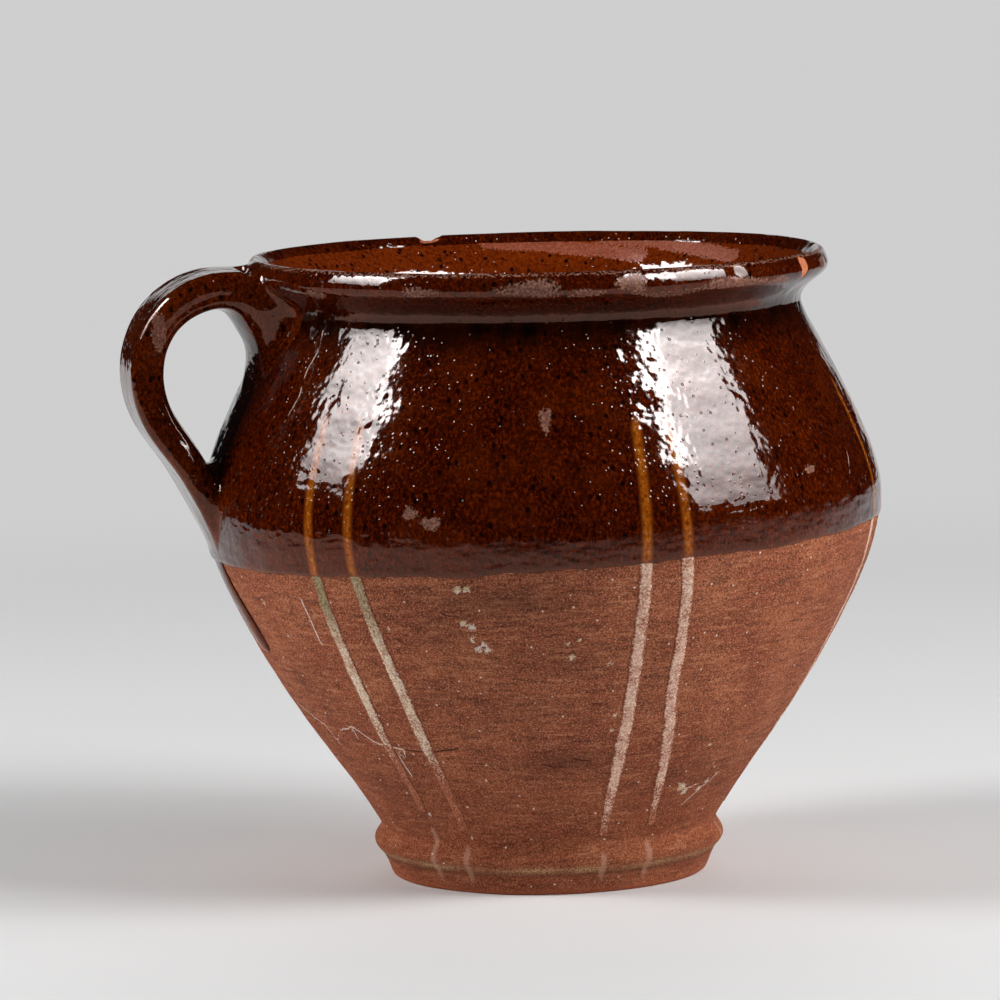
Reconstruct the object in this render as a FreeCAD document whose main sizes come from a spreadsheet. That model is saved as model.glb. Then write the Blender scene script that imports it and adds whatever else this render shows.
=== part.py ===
"""Glazed earthenware cooking jar with one pulled handle, as a parametric model.

Millimetres, +Z up. The origin is the centre of the flat underside, on the throwing axis.
The handle stands along -X. Azimuths count from -Y, and grow towards +X.
"""
import FreeCAD, Part
import Sketcher
import math
import os

V = FreeCAD.Vector

# Driving dimensions, in millimetres and degrees. A point of an outline has a radius and a height.
DIMENSIONS = {
    # foot, turned on the wheel
    "base_radius": 45.6, "base_height": 0.0,
    "foot_ledge_radius": 48.6, "foot_ledge_height": 6.3,
    "foot_bulge_radius": 51.1, "foot_bulge_height": 9.8,
    "foot_waist_radius": 48.7, "foot_waist_height": 14.6,
    # outside of the clay wall
    "low_wall_radius": 52.6, "low_wall_height": 21.0,
    "lower_wall_radius": 68.7, "lower_wall_height": 44.0,
    "upper_wall_radius": 88.2, "upper_wall_height": 77.0,
    "belly_radius": 97.9, "belly_height": 108.7,
    "low_shoulder_radius": 91.4, "low_shoulder_height": 131.5,
    "shoulder_radius": 82.4, "shoulder_height": 150.1,
    "neck_radius": 75.5, "neck_height": 164.8,
    "under_rim_radius": 78.4, "under_rim_height": 170.6,
    # rolled rim: a band, with a fairly sharp crest
    "band_foot_radius": 82.3, "band_foot_height": 173.1,
    "band_radius": 83.3, "band_height": 176.3,
    "band_top_radius": 82.7, "band_top_height": 178.9,
    "crest_radius": 81.4, "crest_height": 179.5,
    "crest_edge_radius": 80.0, "crest_edge_height": 178.8,
    # inside of the clay wall, from the crest down to the middle of the floor
    "lip_radius": 75.4, "lip_height": 173.4,
    "throat_radius": 70.2, "throat_height": 164.4,
    "inner_shoulder_radius": 77.0, "inner_shoulder_height": 148.3,
    "inner_belly_radius": 92.4, "inner_belly_height": 108.7,
    "inner_wall_radius": 83.0, "inner_wall_height": 79.4,
    "inner_low_wall_radius": 63.3, "inner_low_wall_height": 47.6,
    "floor_edge_radius": 44.0, "floor_edge_height": 20.0,
    "floor_bend_radius": 30.0, "floor_bend_height": 10.4,
    "floor_radius": 0.0, "floor_height": 8.0,
    # coats
    "glaze_thickness": 0.5,
    "slip_thickness": 0.2,
    "blank_depth": 2.0,
    "dip_height": 98.6,
    "dip_tilt": 2.5, "dip_rises_towards": -12.0,
    # handle, a pulled strap: stations from the rim to the belly
    "strap_wall_out": 76.0, "strap_wall_up": 170.2, "strap_wall_thick": 10.2, "strap_wall_wide": 29.0,
    "strap_root_out": 87.0, "strap_root_up": 172.0, "strap_root_thick": 10.0, "strap_root_wide": 28.0,
    "strap_top_out": 97.0, "strap_top_up": 171.8, "strap_top_thick": 9.9, "strap_top_wide": 27.0,
    "strap_bend_out": 109.2, "strap_bend_up": 164.8, "strap_bend_thick": 9.2, "strap_bend_wide": 27.0,
    "strap_side_out": 114.9, "strap_side_up": 151.5, "strap_side_thick": 9.2, "strap_side_wide": 27.0,
    "strap_low_out": 112.6, "strap_low_up": 137.5, "strap_low_thick": 9.2, "strap_low_wide": 29.0,
    "strap_foot_out": 104.6, "strap_foot_up": 124.9, "strap_foot_thick": 8.8, "strap_foot_wide": 32.0,
    "strap_heel_out": 98.3, "strap_heel_up": 113.0, "strap_heel_thick": 8.0, "strap_heel_wide": 32.0,
    "strap_tail_out": 90.0, "strap_tail_up": 98.5, "strap_tail_thick": 9.0, "strap_tail_wide": 16.0,
    # soft clay smeared into the two joints: middle, and half sizes out, across and up
    "rim_joint_out": 80.5, "rim_joint_up": 166.0,
    "rim_joint_half_out": 8.0, "rim_joint_half_across": 22.0, "rim_joint_half_up": 8.6,
    "belly_joint_out": 92.8, "belly_joint_up": 112.5,
    "belly_joint_half_out": 8.2, "belly_joint_half_across": 23.0, "belly_joint_half_up": 12.5,
    # run of glaze under the handle
    "run_azimuth": -87.0, "run_out": 91.3, "run_up": 83.0,
    "run_half_length": 16.0, "run_half_width": 4.9, "run_half_depth": 1.2,
    "run_lean_out": 26.0, "run_lean_across": 15.0,
    # slip stripes
    "stripe_width": 2.9, "stripe_tip_width": 1.4,
    "stripe_upper_height": 100.0, "stripe_lower_height": 60.0,
    "stripe_sketch_edge": 40.0,
    "stripe_reach": 115.0,
}

# The outline of the clay, in order from the base round to the middle of the floor.
FOOT = ["base", "foot_ledge"]
FOOT_BULGE = ["foot_ledge", "foot_bulge", "foot_waist"]
WALL = ["foot_waist", "low_wall", "lower_wall", "upper_wall", "belly", "low_shoulder", "shoulder",
        "neck", "under_rim", "band_foot"]
BAND = ["band_foot", "band", "band_top"]
CREST = ["band_top", "crest", "crest_edge"]
INSIDE = ["crest_edge", "lip", "throat", "inner_shoulder", "inner_belly", "inner_wall",
          "inner_low_wall", "floor_edge", "floor_bend", "floor"]
OUTLINE = list(dict.fromkeys(FOOT + FOOT_BULGE + WALL + BAND + CREST + INSIDE))
OUTER_COAT = OUTLINE[OUTLINE.index("lower_wall"):OUTLINE.index("crest") + 1]
INNER_COAT = OUTLINE[OUTLINE.index("crest"):]
STRAP = ["strap_wall", "strap_root", "strap_top", "strap_bend", "strap_side", "strap_low",
         "strap_foot", "strap_heel", "strap_tail"]

# Each pair has two lines: azimuths at the four heights, then the top and bottom heights. The first
# two pairs are seen whole and the third in part. The other three repeat them 60 degrees further on.
STRIPE_PAIRS = [
    ("slip_stripe_1", (-54.4, -53.1, -52.1, -52.6, 143.5, 24.0), (-46.0, -45.0, -41.8, -39.6, 142.0, 19.0)),
    ("slip_stripe_2", (5.2, 5.0, 5.4, 5.7, 143.0, 17.0), (11.0, 12.3, 14.3, 22.2, 142.5, 19.0)),
    ("slip_stripe_3", (63.0, 63.6, 65.0, 67.0, 147.0, 20.0), (70.8, 71.5, 73.5, 76.5, 144.0, 23.0)),
    ("slip_stripe_4", (125.2, 124.6, 124.2, 123.0, 141.5, 18.0), (132.6, 132.8, 133.6, 136.4, 143.5, 22.0)),
    ("slip_stripe_5", (184.2, 185.2, 186.0, 188.4, 144.0, 21.0), (191.4, 192.0, 192.6, 193.4, 142.0, 17.5)),
    ("slip_stripe_6", (243.8, 244.4, 244.2, 243.2, 140.0, 19.5), (251.2, 251.6, 252.4, 254.8, 143.0, 22.5)),
]

doc = FreeCAD.newDocument("earthenware_jar")


def make_sheet():
    made = doc.addObject("Spreadsheet::Sheet", "Dimensions")
    for row, (name, value) in enumerate(DIMENSIONS.items(), start=1):
        made.set("A%d" % row, name)
        made.set("B%d" % row, str(value))
        made.setAlias("B%d" % row, name)
    doc.recompute()
    return made


sheet = make_sheet()


def size(name):
    return float(sheet.get(name))


def cell(name):
    return "Dimensions." + name


def spot(name):
    """A named point of an outline, as radius and height."""
    return V(size(name + "_radius"), size(name + "_height"), 0)


def outward(name):
    """Unit normal of the clay at a point of its outline, pointing away from the clay."""
    if spot(name).x == 0:
        return V(0, 1, 0)
    place = OUTLINE.index(name)
    along = (spot(OUTLINE[place + 1]) - spot(OUTLINE[place - 1])).normalize()
    return V(along.y, -along.x, 0)


def points(names, moved_by=None, sign=1.0):
    """Named points with their expressions, moved along the outline's normals if asked."""
    found = [(spot(name), cell(name + "_radius"), cell(name + "_height")) for name in names]
    if moved_by:
        normals = [outward(name) * sign for name in names]
        found = [(place + normal * size(moved_by),
                  "%s + %s * %.4f" % (across, cell(moved_by), normal.x),
                  "%s + %s * %.4f" % (up, cell(moved_by), normal.y))
                 for (place, across, up), normal in zip(found, normals)]
    return found


def axis_point(height_name=None):
    """A point on the throwing axis: on the base, or at a named height."""
    if height_name is None:
        return V(0, 0, 0), "0", "0"
    return V(0, size(height_name), 0), "0", cell(height_name)


class Section:
    """A closed outline in a sketch, whose points are bound to the sheet."""

    def __init__(self, sketch):
        self.sketch = sketch

    def bind(self, geometry, end, point):
        place, across, up = point
        for kind, value, expression in (("DistanceX", place.x, across), ("DistanceY", place.y, up)):
            number = self.sketch.addConstraint(
                Sketcher.Constraint(kind, -1, 1, geometry, end, value))
            self.sketch.setExpression("Constraints[%d]" % number, expression)

    def curve(self, found):
        """A smooth curve through the points."""
        spline = Part.BSplineCurve()
        spline.interpolate([point[0] for point in found])
        index = self.sketch.addGeometry(spline, False)
        self.sketch.exposeInternalGeometry(index)
        knots = [i for i, item in enumerate(self.sketch.Geometry)
                 if i > index and isinstance(item, Part.Point)]
        for knot, point in zip(knots, found):
            self.bind(knot, 1, point)

    def arc(self, first, middle, last):
        """An arc through three points."""
        index = self.sketch.addGeometry(Part.Arc(first[0], middle[0], last[0]), False)
        passed = self.sketch.addGeometry(Part.Point(middle[0]), True)
        self.sketch.addConstraint(Sketcher.Constraint("PointOnObject", passed, 1, index))
        self.bind(passed, 1, middle)
        starts_first = self.sketch.Geometry[index].StartPoint.distanceToPoint(first[0]) < 1e-6
        self.bind(index, 1 if starts_first else 2, first)
        self.bind(index, 2 if starts_first else 1, last)

    def line(self, *found):
        """Straight lines from each point to the next."""
        for first, last in zip(found, found[1:]):
            index = self.sketch.addGeometry(Part.LineSegment(first[0], last[0]), False)
            self.bind(index, 1, first)
            self.bind(index, 2, last)


def start_body(name):
    """A body, and a section in the plane of the throwing axis: radius across, height up."""
    body = doc.addObject("PartDesign::Body", name)
    sketch = body.newObject("Sketcher::SketchObject", name + "_section")
    plane = [item for item in body.Origin.OriginFeatures if item.Role == "XZ_Plane"][0]
    sketch.AttachmentSupport = [(plane, "")]
    sketch.MapMode = "FlatFace"
    return body, Section(sketch)


def spin(body, section):
    """Turns the section once round the throwing axis, as the wheel does."""
    turned = body.newObject("PartDesign::Revolution", body.Name + "_turned")
    turned.Profile = section.sketch
    turned.ReferenceAxis = (section.sketch, ["V_Axis"])
    turned.Angle = 360.0
    body.Tip = turned
    return body


def clay_outside(section):
    """The outside of the clay, from the base to the crest of the rim."""
    section.line(*points(FOOT))
    section.arc(*points(FOOT_BULGE))
    section.curve(points(WALL))
    section.arc(*points(BAND))
    section.arc(*points(CREST))


def thrown_body():
    """Foot, wall, rolled rim and floor, thrown from one lump of clay."""
    body, section = start_body("thrown_body")
    clay_outside(section)
    section.curve(points(INSIDE))
    section.line(axis_point("floor_height"), axis_point(), points(["base"])[0])
    return spin(body, section)


def filled_outside():
    """The clay's outside as a filled solid, which trims what is stuck onto it."""
    body, section = start_body("filled_outside")
    clay_outside(section)
    section.line(points(["crest_edge"])[0], axis_point("crest_edge_height"), axis_point(),
                 points(["base"])[0])
    return spin(body, section)


def coat_blank(name, names, coat):
    """A turned skin through the clay's surface: proud of it by a coat, and sunk into it."""
    body, section = start_body(name)
    proud = points(names, coat)
    sunk = points(names, "blank_depth", -1.0)
    section.curve(proud)
    section.line(proud[-1], sunk[-1])
    section.curve(sunk)
    section.line(sunk[0], proud[0])
    return spin(body, section)


def part_object(kind, name, **properties):
    made = doc.addObject(kind, name)
    for key, value in properties.items():
        setattr(made, key, value)
    return made


def bind_all(made, **expressions):
    for path, expression in expressions.items():
        made.setExpression(path.replace("__", "."), expression)
    return made


def cut(name, base, *tools):
    """The base without the tools, one after another."""
    for number, tool in enumerate(tools, start=1):
        last = number == len(tools)
        base = part_object("Part::Cut", name if last else "%s_%d" % (name, number),
                           Base=base, Tool=tool)
    return base


def slot_shape(sketch, wide, thick, values):
    """A flat bar with round edges, centred in the sketch."""
    half, radius = (values[0] - values[1]) / 2, values[1] / 2
    right = sketch.addGeometry(Part.ArcOfCircle(
        Part.Circle(V(half, 0, 0), V(0, 0, 1), radius), -math.pi / 2, math.pi / 2), False)
    top = sketch.addGeometry(Part.LineSegment(V(half, radius, 0), V(-half, radius, 0)), False)
    left = sketch.addGeometry(Part.ArcOfCircle(
        Part.Circle(V(-half, 0, 0), V(0, 0, 1), radius), math.pi / 2, 3 * math.pi / 2), False)
    bottom = sketch.addGeometry(Part.LineSegment(V(-half, -radius, 0), V(half, -radius, 0)), False)
    for first, second in ((right, top), (top, left), (left, bottom), (bottom, right)):
        sketch.addConstraint(Sketcher.Constraint("Tangent", first, 2, second, 1))
    sketch.addConstraint(Sketcher.Constraint("Horizontal", top))
    sketch.addConstraint(Sketcher.Constraint("Equal", right, left))
    sketch.addConstraint(Sketcher.Constraint("Symmetric", left, 3, right, 3, -1, 1))
    width = sketch.addConstraint(Sketcher.Constraint("DistanceX", left, 3, right, 3, 2 * half))
    sketch.setExpression("Constraints[%d]" % width, "%s - %s" % (wide, thick))
    edge = sketch.addConstraint(Sketcher.Constraint("Radius", right, radius))
    sketch.setExpression("Constraints[%d]" % edge, "(%s) / 2" % thick)


def strap(name, coat=None):
    """The pulled strap, lofted through its stations, thicker all round by a coat if asked."""
    body = doc.addObject("PartDesign::Body", name)
    plane = [item for item in body.Origin.OriginFeatures if item.Role == "XY_Plane"][0]
    middles = [V(-size(station + "_out"), 0, size(station + "_up")) for station in STRAP]
    sketches = []
    for i, station in enumerate(STRAP):
        along = (middles[min(i + 1, len(STRAP) - 1)] - middles[max(i - 1, 0)]).normalize()
        across = V(0, 1, 0)
        extra = size(coat) * 2 if coat else 0.0
        more = " + 2 * " + cell(coat) if coat else ""
        sketch = body.newObject("Sketcher::SketchObject", "%s_at_%s" % (name, station))
        sketch.AttachmentSupport = [(plane, "")]
        sketch.MapMode = "FlatFace"
        turn = FreeCAD.Rotation(across, along.cross(across), along, "ZXY")
        sketch.AttachmentOffset = FreeCAD.Placement(middles[i], turn)
        bind_all(sketch, AttachmentOffset__Base__x="-" + cell(station + "_out"),
                 AttachmentOffset__Base__z=cell(station + "_up"))
        slot_shape(sketch, cell(station + "_wide") + more, cell(station + "_thick") + more,
                   (size(station + "_wide") + extra, size(station + "_thick") + extra))
        sketches.append(sketch)
    loft = body.newObject("PartDesign::AdditiveLoft", name + "_loft")
    loft.Profile = sketches[0]
    loft.Sections = sketches[1:]
    body.Tip = loft
    return body


def joint_lump(name, joint, coat=None):
    """Soft clay pressed into a joint, as an ellipsoid before it is trimmed."""
    more = " + " + cell(coat) if coat else ""
    lump = part_object("Part::Ellipsoid", name, Angle1=-90, Angle2=90, Angle3=360)
    return bind_all(lump, Placement__Base__x="-" + cell(joint + "_out"),
                    Placement__Base__z=cell(joint + "_up"),
                    Radius1=cell(joint + "_half_up") + more,
                    Radius2=cell(joint + "_half_out") + more,
                    Radius3=cell(joint + "_half_across") + more)


def above_the_dip_line():
    """The space above the glaze's tilted edge, where the jar was dipped upside down."""
    space = part_object("Part::Cylinder", "above_the_dip_line")
    rises_to = math.radians(size("dip_rises_towards"))
    level = V(-math.cos(rises_to), -math.sin(rises_to), 0)
    space.Placement = FreeCAD.Placement(V(), FreeCAD.Rotation(level, size("dip_tilt")))
    return bind_all(space, Radius="2 * " + cell("belly_radius"), Height=cell("belly_radius"),
                    Placement__Base__z=cell("dip_height"),
                    Placement__Rotation__Angle=cell("dip_tilt"))


def radius_at(height):
    """Radius of the clay's outside at a height, straight between the outline's points."""
    for low, high in zip(WALL, WALL[1:]):
        if size(low + "_height") <= height <= size(high + "_height"):
            share = (height - spot(low).y) / (spot(high).y - spot(low).y)
            return spot(low).x + share * (spot(high).x - spot(low).x)


def stripe_prism(name, azimuths, top, bottom):
    """A brushed line as seen from outside, pushed out through the wall."""
    facing = azimuths[1]
    edge = size("stripe_sketch_edge")
    sketch = doc.addObject("Sketcher::SketchObject", name + "_outline")
    turn = FreeCAD.Rotation(V(0, 0, 1), facing)
    sketch.Placement = FreeCAD.Placement(turn.multVec(V(-edge, 0, 0)),
                                         turn * FreeCAD.Rotation(V(1, 0, 0), 90))
    heights = (top, size("stripe_upper_height"), size("stripe_lower_height"), bottom)
    widths = ("stripe_width", "stripe_width", "stripe_width", "stripe_tip_width")
    across = [radius_at(height) * math.sin(math.radians(azimuth - facing))
              for azimuth, height in zip(azimuths, heights)]
    sides = []
    for side in (-0.5, 0.5):
        sides.append([(V(edge + x + side * size(width), z, 0),
                       "%s + %.2f + %.1f * %s" % (cell("stripe_sketch_edge"), x, side, cell(width)),
                       "%.1f" % z)
                      for x, width, z in zip(across, widths, heights)])
    section = Section(sketch)
    for side in sides:
        section.curve(side)
    section.line(sides[0][0], sides[1][0])
    section.line(sides[0][-1], sides[1][-1])
    prism = part_object("Part::Extrusion", name + "_prism", Base=sketch, DirMode="Normal", Solid=True)
    return bind_all(prism, LengthFwd=cell("stripe_reach"))


def run_of_glaze(name):
    """A long drop that ran down the clay below the handle, before it is trimmed."""
    azimuth = size("run_azimuth")
    outwards = FreeCAD.Rotation(V(0, 0, 1), azimuth - 90)
    leaning = (FreeCAD.Rotation(V(0, 1, 0), size("run_lean_out"))
               * FreeCAD.Rotation(V(1, 0, 0), size("run_lean_across")))
    drop = part_object("Part::Ellipsoid", name, Angle1=-90, Angle2=90, Angle3=360)
    drop.Placement = FreeCAD.Placement(V(), outwards * leaning)
    return bind_all(drop,
                    Placement__Base__x="Dimensions.run_out * sin(Dimensions.run_azimuth)",
                    Placement__Base__y="-Dimensions.run_out * cos(Dimensions.run_azimuth)",
                    Placement__Base__z=cell("run_up"), Radius1=cell("run_half_length"),
                    Radius2=cell("run_half_depth"), Radius3=cell("run_half_width"))


def fuse(name, *shapes):
    return part_object("Part::MultiFuse", name, Shapes=list(shapes))


def build():
    clay = thrown_body()
    outside = filled_outside()

    strap_body = strap("strap")
    rim_lump = joint_lump("rim_lump", "rim_joint")
    belly_lump = joint_lump("belly_lump", "belly_joint")
    handle = cut("pulled_handle", strap_body, outside)
    rim_clay = cut("rim_joint_clay", rim_lump, outside, strap_body)
    belly_clay = cut("belly_joint_clay", belly_lump, outside, strap_body)

    slip_skin = cut("slip_skin", coat_blank("slip_blank", WALL, "slip_thickness"), outside)
    stripes = []
    for pair, left, right in STRIPE_PAIRS:
        for side, line in (("left", left), ("right", right)):
            name = "%s_%s" % (pair, side)
            prism = stripe_prism(name, line[:4], *line[4:])
            stripes.append(part_object("Part::Common", name, Base=slip_skin, Tool=prism))

    coat = coat_blank("outer_glaze_blank", OUTER_COAT, "glaze_thickness")
    dipped = part_object("Part::Common", "dipped_coat", Base=coat, Tool=above_the_dip_line())
    handle_core = fuse("handle_core", strap_body, rim_lump, belly_lump)
    all_stripes = part_object("Part::Compound", "all_stripes", Links=stripes)
    outer = cut("outer_glaze", dipped, outside, handle_core, all_stripes)
    inner = cut("inner_glaze", coat_blank("inner_glaze_blank", INNER_COAT, "glaze_thickness"), clay)

    coated_core = fuse("coated_handle_core", strap("coated_strap", "glaze_thickness"),
                       joint_lump("coated_rim_lump", "rim_joint", "glaze_thickness"),
                       joint_lump("coated_belly_lump", "belly_joint", "glaze_thickness"))
    handle_coat = cut("handle_glaze", coated_core, handle_core, outside, dipped)

    run = cut("glaze_run", run_of_glaze("run_drop"), outside, dipped)

    return [clay, handle, rim_clay, belly_clay, outer, inner, handle_coat, run] + stripes


def check(kept):
    """Stops if anything in the document failed, before a file is written."""
    for item in doc.Objects:
        if "Invalid" in item.State or "Error" in item.State:
            raise RuntimeError("%s failed: %s" % (item.Name, item.State))
    for item in kept:
        if item.Shape.isNull() or not item.Shape.isValid() or len(item.Shape.Solids) != 1:
            raise RuntimeError("%s is not one valid solid" % item.Label)


def write(kept):
    os.makedirs("parts", exist_ok=True)
    for item in kept:
        item.Shape.exportStep(os.path.join("parts", item.Label + ".step"))
        print("%-22s %9.0f mm3" % (item.Label, item.Shape.Volume))


sub_parts = build()
doc.recompute()
check(sub_parts)
write(sub_parts)
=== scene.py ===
"""A glazed earthenware cooking jar: its thrown clay, its coats of glaze and its brushed slip.

Scene units are metres, in the frame's axes: +Z up, with the handle along -X. Outlines and marks are
listed in millimetres and degrees, as they would be measured on the jar. Azimuths count from -Y and
grow towards +X. A place is a distance along the clay's outline, from the middle of the base outwards,
up over the rim, and down inside to the middle of the floor.
"""
import math

import bpy
import numpy as np
from mathutils import Matrix, Vector, noise


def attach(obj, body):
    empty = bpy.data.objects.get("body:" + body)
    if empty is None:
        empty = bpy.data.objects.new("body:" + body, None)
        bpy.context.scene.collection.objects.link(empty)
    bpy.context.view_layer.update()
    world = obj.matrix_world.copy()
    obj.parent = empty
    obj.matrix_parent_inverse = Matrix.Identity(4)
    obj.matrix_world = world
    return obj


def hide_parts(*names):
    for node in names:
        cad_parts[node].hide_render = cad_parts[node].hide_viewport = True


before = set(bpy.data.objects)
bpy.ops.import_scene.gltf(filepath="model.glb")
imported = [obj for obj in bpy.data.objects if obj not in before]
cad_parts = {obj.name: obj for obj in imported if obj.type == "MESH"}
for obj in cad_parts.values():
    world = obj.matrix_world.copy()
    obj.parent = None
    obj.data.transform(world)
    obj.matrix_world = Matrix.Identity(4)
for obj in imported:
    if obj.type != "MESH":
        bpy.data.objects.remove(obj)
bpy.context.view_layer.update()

MM = 0.001

# Outline of the clay as (radius, height), without its coats
BASE = [(0.0, 0.6), (38.0, 0.6), (43.0, 0.0), (45.6, 0.0)]
FOOT = [(45.6, 0.0), (48.6, 6.3)]
FOOT_BULGE = [(48.6, 6.3), (51.1, 9.8), (48.7, 14.6)]
WALL = [(48.7, 14.6), (52.6, 21.0), (68.7, 44.0), (88.2, 77.0), (95.8, 95.0), (97.9, 108.7),
        (97.2, 115.0), (95.55, 121.0), (93.35, 127.0), (90.75, 133.0), (87.95, 139.0), (85.0, 145.0),
        (81.9, 151.0), (78.75, 157.0), (77.1, 160.2), (75.85, 163.2), (75.5, 165.0), (75.8, 166.5),
        (76.9, 168.3), (79.4, 170.6), (82.1, 172.6)]
BAND = [(82.1, 172.6), (83.45, 174.4), (83.1, 176.9), (82.2, 178.7)]
CREST = [(82.2, 178.7), (81.2, 179.5), (80.0, 178.8)]
INSIDE = [(80.0, 178.8), (75.4, 173.4), (70.2, 164.4), (77.0, 148.3), (92.4, 108.7), (83.0, 79.4),
          (63.3, 47.6), (44.0, 20.0), (30.0, 10.4), (0.0, 8.0)]
SOFT_CORNER = 0.45           # how far a corner of the outline is rounded by the wet sponge

# Coats
GLAZE_THICK = 0.5
DIP_HEIGHT = 98.6            # the glaze's lower edge, at the azimuth where its tilt crosses the middle
DIP_TILT_RISE = 4.3          # how much higher and lower that edge is a quarter turn away
DIP_LEVEL_AZIMUTH = -12.0
LIP_OVERLAP = 5.0            # how far the outside coat runs down inside the rim

# Slip lines: azimuths at the top, at heights 100 and 60, and at the bottom, then top and bottom height
SLIP_LINES = {
    "slip_stripe_1_left": (-54.4, -53.1, -52.1, -52.6, 143.5, 24.0),
    "slip_stripe_1_right": (-46.0, -45.0, -41.8, -39.6, 142.0, 19.0),
    "slip_stripe_2_left": (5.2, 5.0, 5.4, 5.7, 143.0, 17.0),
    "slip_stripe_2_right": (11.0, 12.3, 14.3, 22.2, 142.5, 19.0),
    "slip_stripe_3_left": (63.0, 63.6, 65.0, 67.0, 147.0, 20.0),
    "slip_stripe_3_right": (70.8, 71.5, 73.5, 76.5, 144.0, 23.0),
    "slip_stripe_4_left": (125.2, 124.6, 124.2, 123.0, 141.5, 18.0),
    "slip_stripe_4_right": (132.6, 132.8, 133.6, 136.4, 143.5, 22.0),
    "slip_stripe_5_left": (184.2, 185.2, 186.0, 188.4, 144.0, 21.0),
    "slip_stripe_5_right": (191.4, 192.0, 192.6, 193.4, 142.0, 17.5),
    "slip_stripe_6_left": (243.8, 244.4, 244.2, 243.2, 140.0, 19.5),
    "slip_stripe_6_right": (251.2, 251.6, 252.4, 254.8, 143.0, 22.5),
}
SLIP_KNOT_HEIGHTS = (100.0, 60.0)
SLIP_WIDTH = 3.9
SLIP_THICK = 0.14

# Handle: stations of the pulled strap as (out from the axis, up, thick, wide), without glaze
STRAP = [(76.0, 170.2, 10.2, 29.0), (87.0, 172.0, 10.0, 28.0), (97.0, 171.8, 9.9, 27.0),
         (109.2, 164.8, 9.2, 27.0), (114.9, 151.5, 9.2, 27.0), (112.6, 137.5, 9.2, 29.0),
         (104.6, 124.9, 8.8, 32.0), (98.3, 113.0, 8.0, 32.0), (90.0, 98.5, 9.0, 16.0)]
STRAP_EDGE_ROUND = 2.7
# Lumps of soft clay in the joints: (out, up), then half sizes out, across and up
RIM_LUMP = (81.5, 167.0, 6.5, 15.0, 8.0)
RIM_SMEAR = (78.6, 157.0, 4.7, 12.0, 14.5)
BELLY_LUMP = (92.2, 111.5, 7.0, 20.0, 11.5)
NICK = (85.8, 177.9, 1.5)    # the nick between the handle's top and the rim: out, up, radius
WORN_GRIP = ((-112.2, -13.4, 162.0), (1.7, 5.0, 4.6))    # rubbed place on the strap: middle, half sizes

# Chips in the rim: azimuth, millimetres past the crest towards the inside, half length round the
# rim, half breadth over it, depth, and whether bare clay shows
CHIPS = [
    (-168.5, 0.3, 3.9, 3.2, 2.3, 0.5),
    (29.7, -3.2, 3.2, 2.8, 0.8, 0.0),
    (52.6, -4.0, 2.0, 2.8, 0.7, 1.0),
    (146.0, -2.0, 2.6, 1.9, 0.7, 1.0),
]
# Places where the glaze is rubbed matt: azimuth, height, half size round the jar, half size up
RUBBED = [
    (-60.2, 172.8, 3.6, 1.5), (-13.0, 175.2, 8.5, 2.4), (-2.8, 173.8, 5.0, 1.0), (6.5, 176.0, 4.2, 2.6),
    (29.0, 174.2, 11.5, 1.5), (64.0, 176.0, 3.0, 1.6), (-35.0, 174.6, 5.0, 1.1), (150.0, 176.0, 9.0, 2.4),
    (-150.0, 175.0, 7.0, 2.0), (95.0, 174.5, 6.0, 1.4), (-11.0, 139.6, 1.5, 3.6), (-33.8, 115.0, 2.0, 1.6), (-30.2, 112.4, 2.9, 1.8),
    (39.7, 121.4, 2.3, 1.1), (100.0, 128.0, 2.6, 3.0), (-140.0, 120.0, 3.4, 2.0), (170.0, 112.0, 3.0, 2.4),
    (14.0, 172.6, 9.0, 1.2), (43.0, 173.4, 5.0, 1.0),
]
# Streaks of painted pink reflection inside the rim, on the poured coat, as (azimuth, height) points
PAINTED_REFLECTION_STREAKS = [
    [(179.0, 177.2), (166.0, 175.8), (153.4, 173.9), (143.5, 172.6)],
    [(153.0, 178.0), (140.0, 176.6), (129.0, 174.8), (117.0, 173.2)],
]
# Scratches through the gloss, in chalky grey, and dark in the clay, as (azimuth, height) points
GLAZE_SCRATCHES = [
    [(-63.9, 163.0), (-63.2, 156.0), (-64.2, 151.0), (-63.6, 144.0), (-65.0, 138.0)],
    [(53.7, 122.8), (52.0, 117.0)],
    [(141.0, 150.0), (138.0, 141.0)],
]
CHALK_SCRATCHES = [
    [(-58.4, 88.0), (-57.9, 82.6), (-57.8, 75.7)],
    [(-61.9, 46.4), (-61.7, 49.9), (-56.2, 45.4), (-52.2, 44.6), (-47.9, 44.2), (-48.4, 42.4)],
    [(-67.0, 47.9), (-63.7, 48.6), (-61.7, 49.9)],
    [(-85.2, 52.7), (-81.1, 51.1), (-74.3, 48.0), (-73.0, 42.7)],
    [(-50.6, 41.7), (-49.9, 36.0)],
    [(27.6, 31.0), (30.5, 29.2), (34.0, 29.8)],
    [(33.0, 24.4), (38.0, 29.0), (42.0, 32.4)],
    [(150.0, 70.0), (158.0, 68.5)],
    [(-128.0, 60.0), (-121.0, 56.5)],
]
DARK_SCRATCHES = [
    [(-47.0, 44.0), (-43.1, 43.8), (-37.6, 44.5), (-33.4, 45.4)],
    [(-29.4, 86.6), (-27.0, 86.0)],
    [(-12.0, 40.2), (-8.6, 39.7)],
    [(-5.2, 42.0), (-2.2, 41.4)],
    [(104.0, 50.0), (112.0, 51.0)],
]
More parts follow.
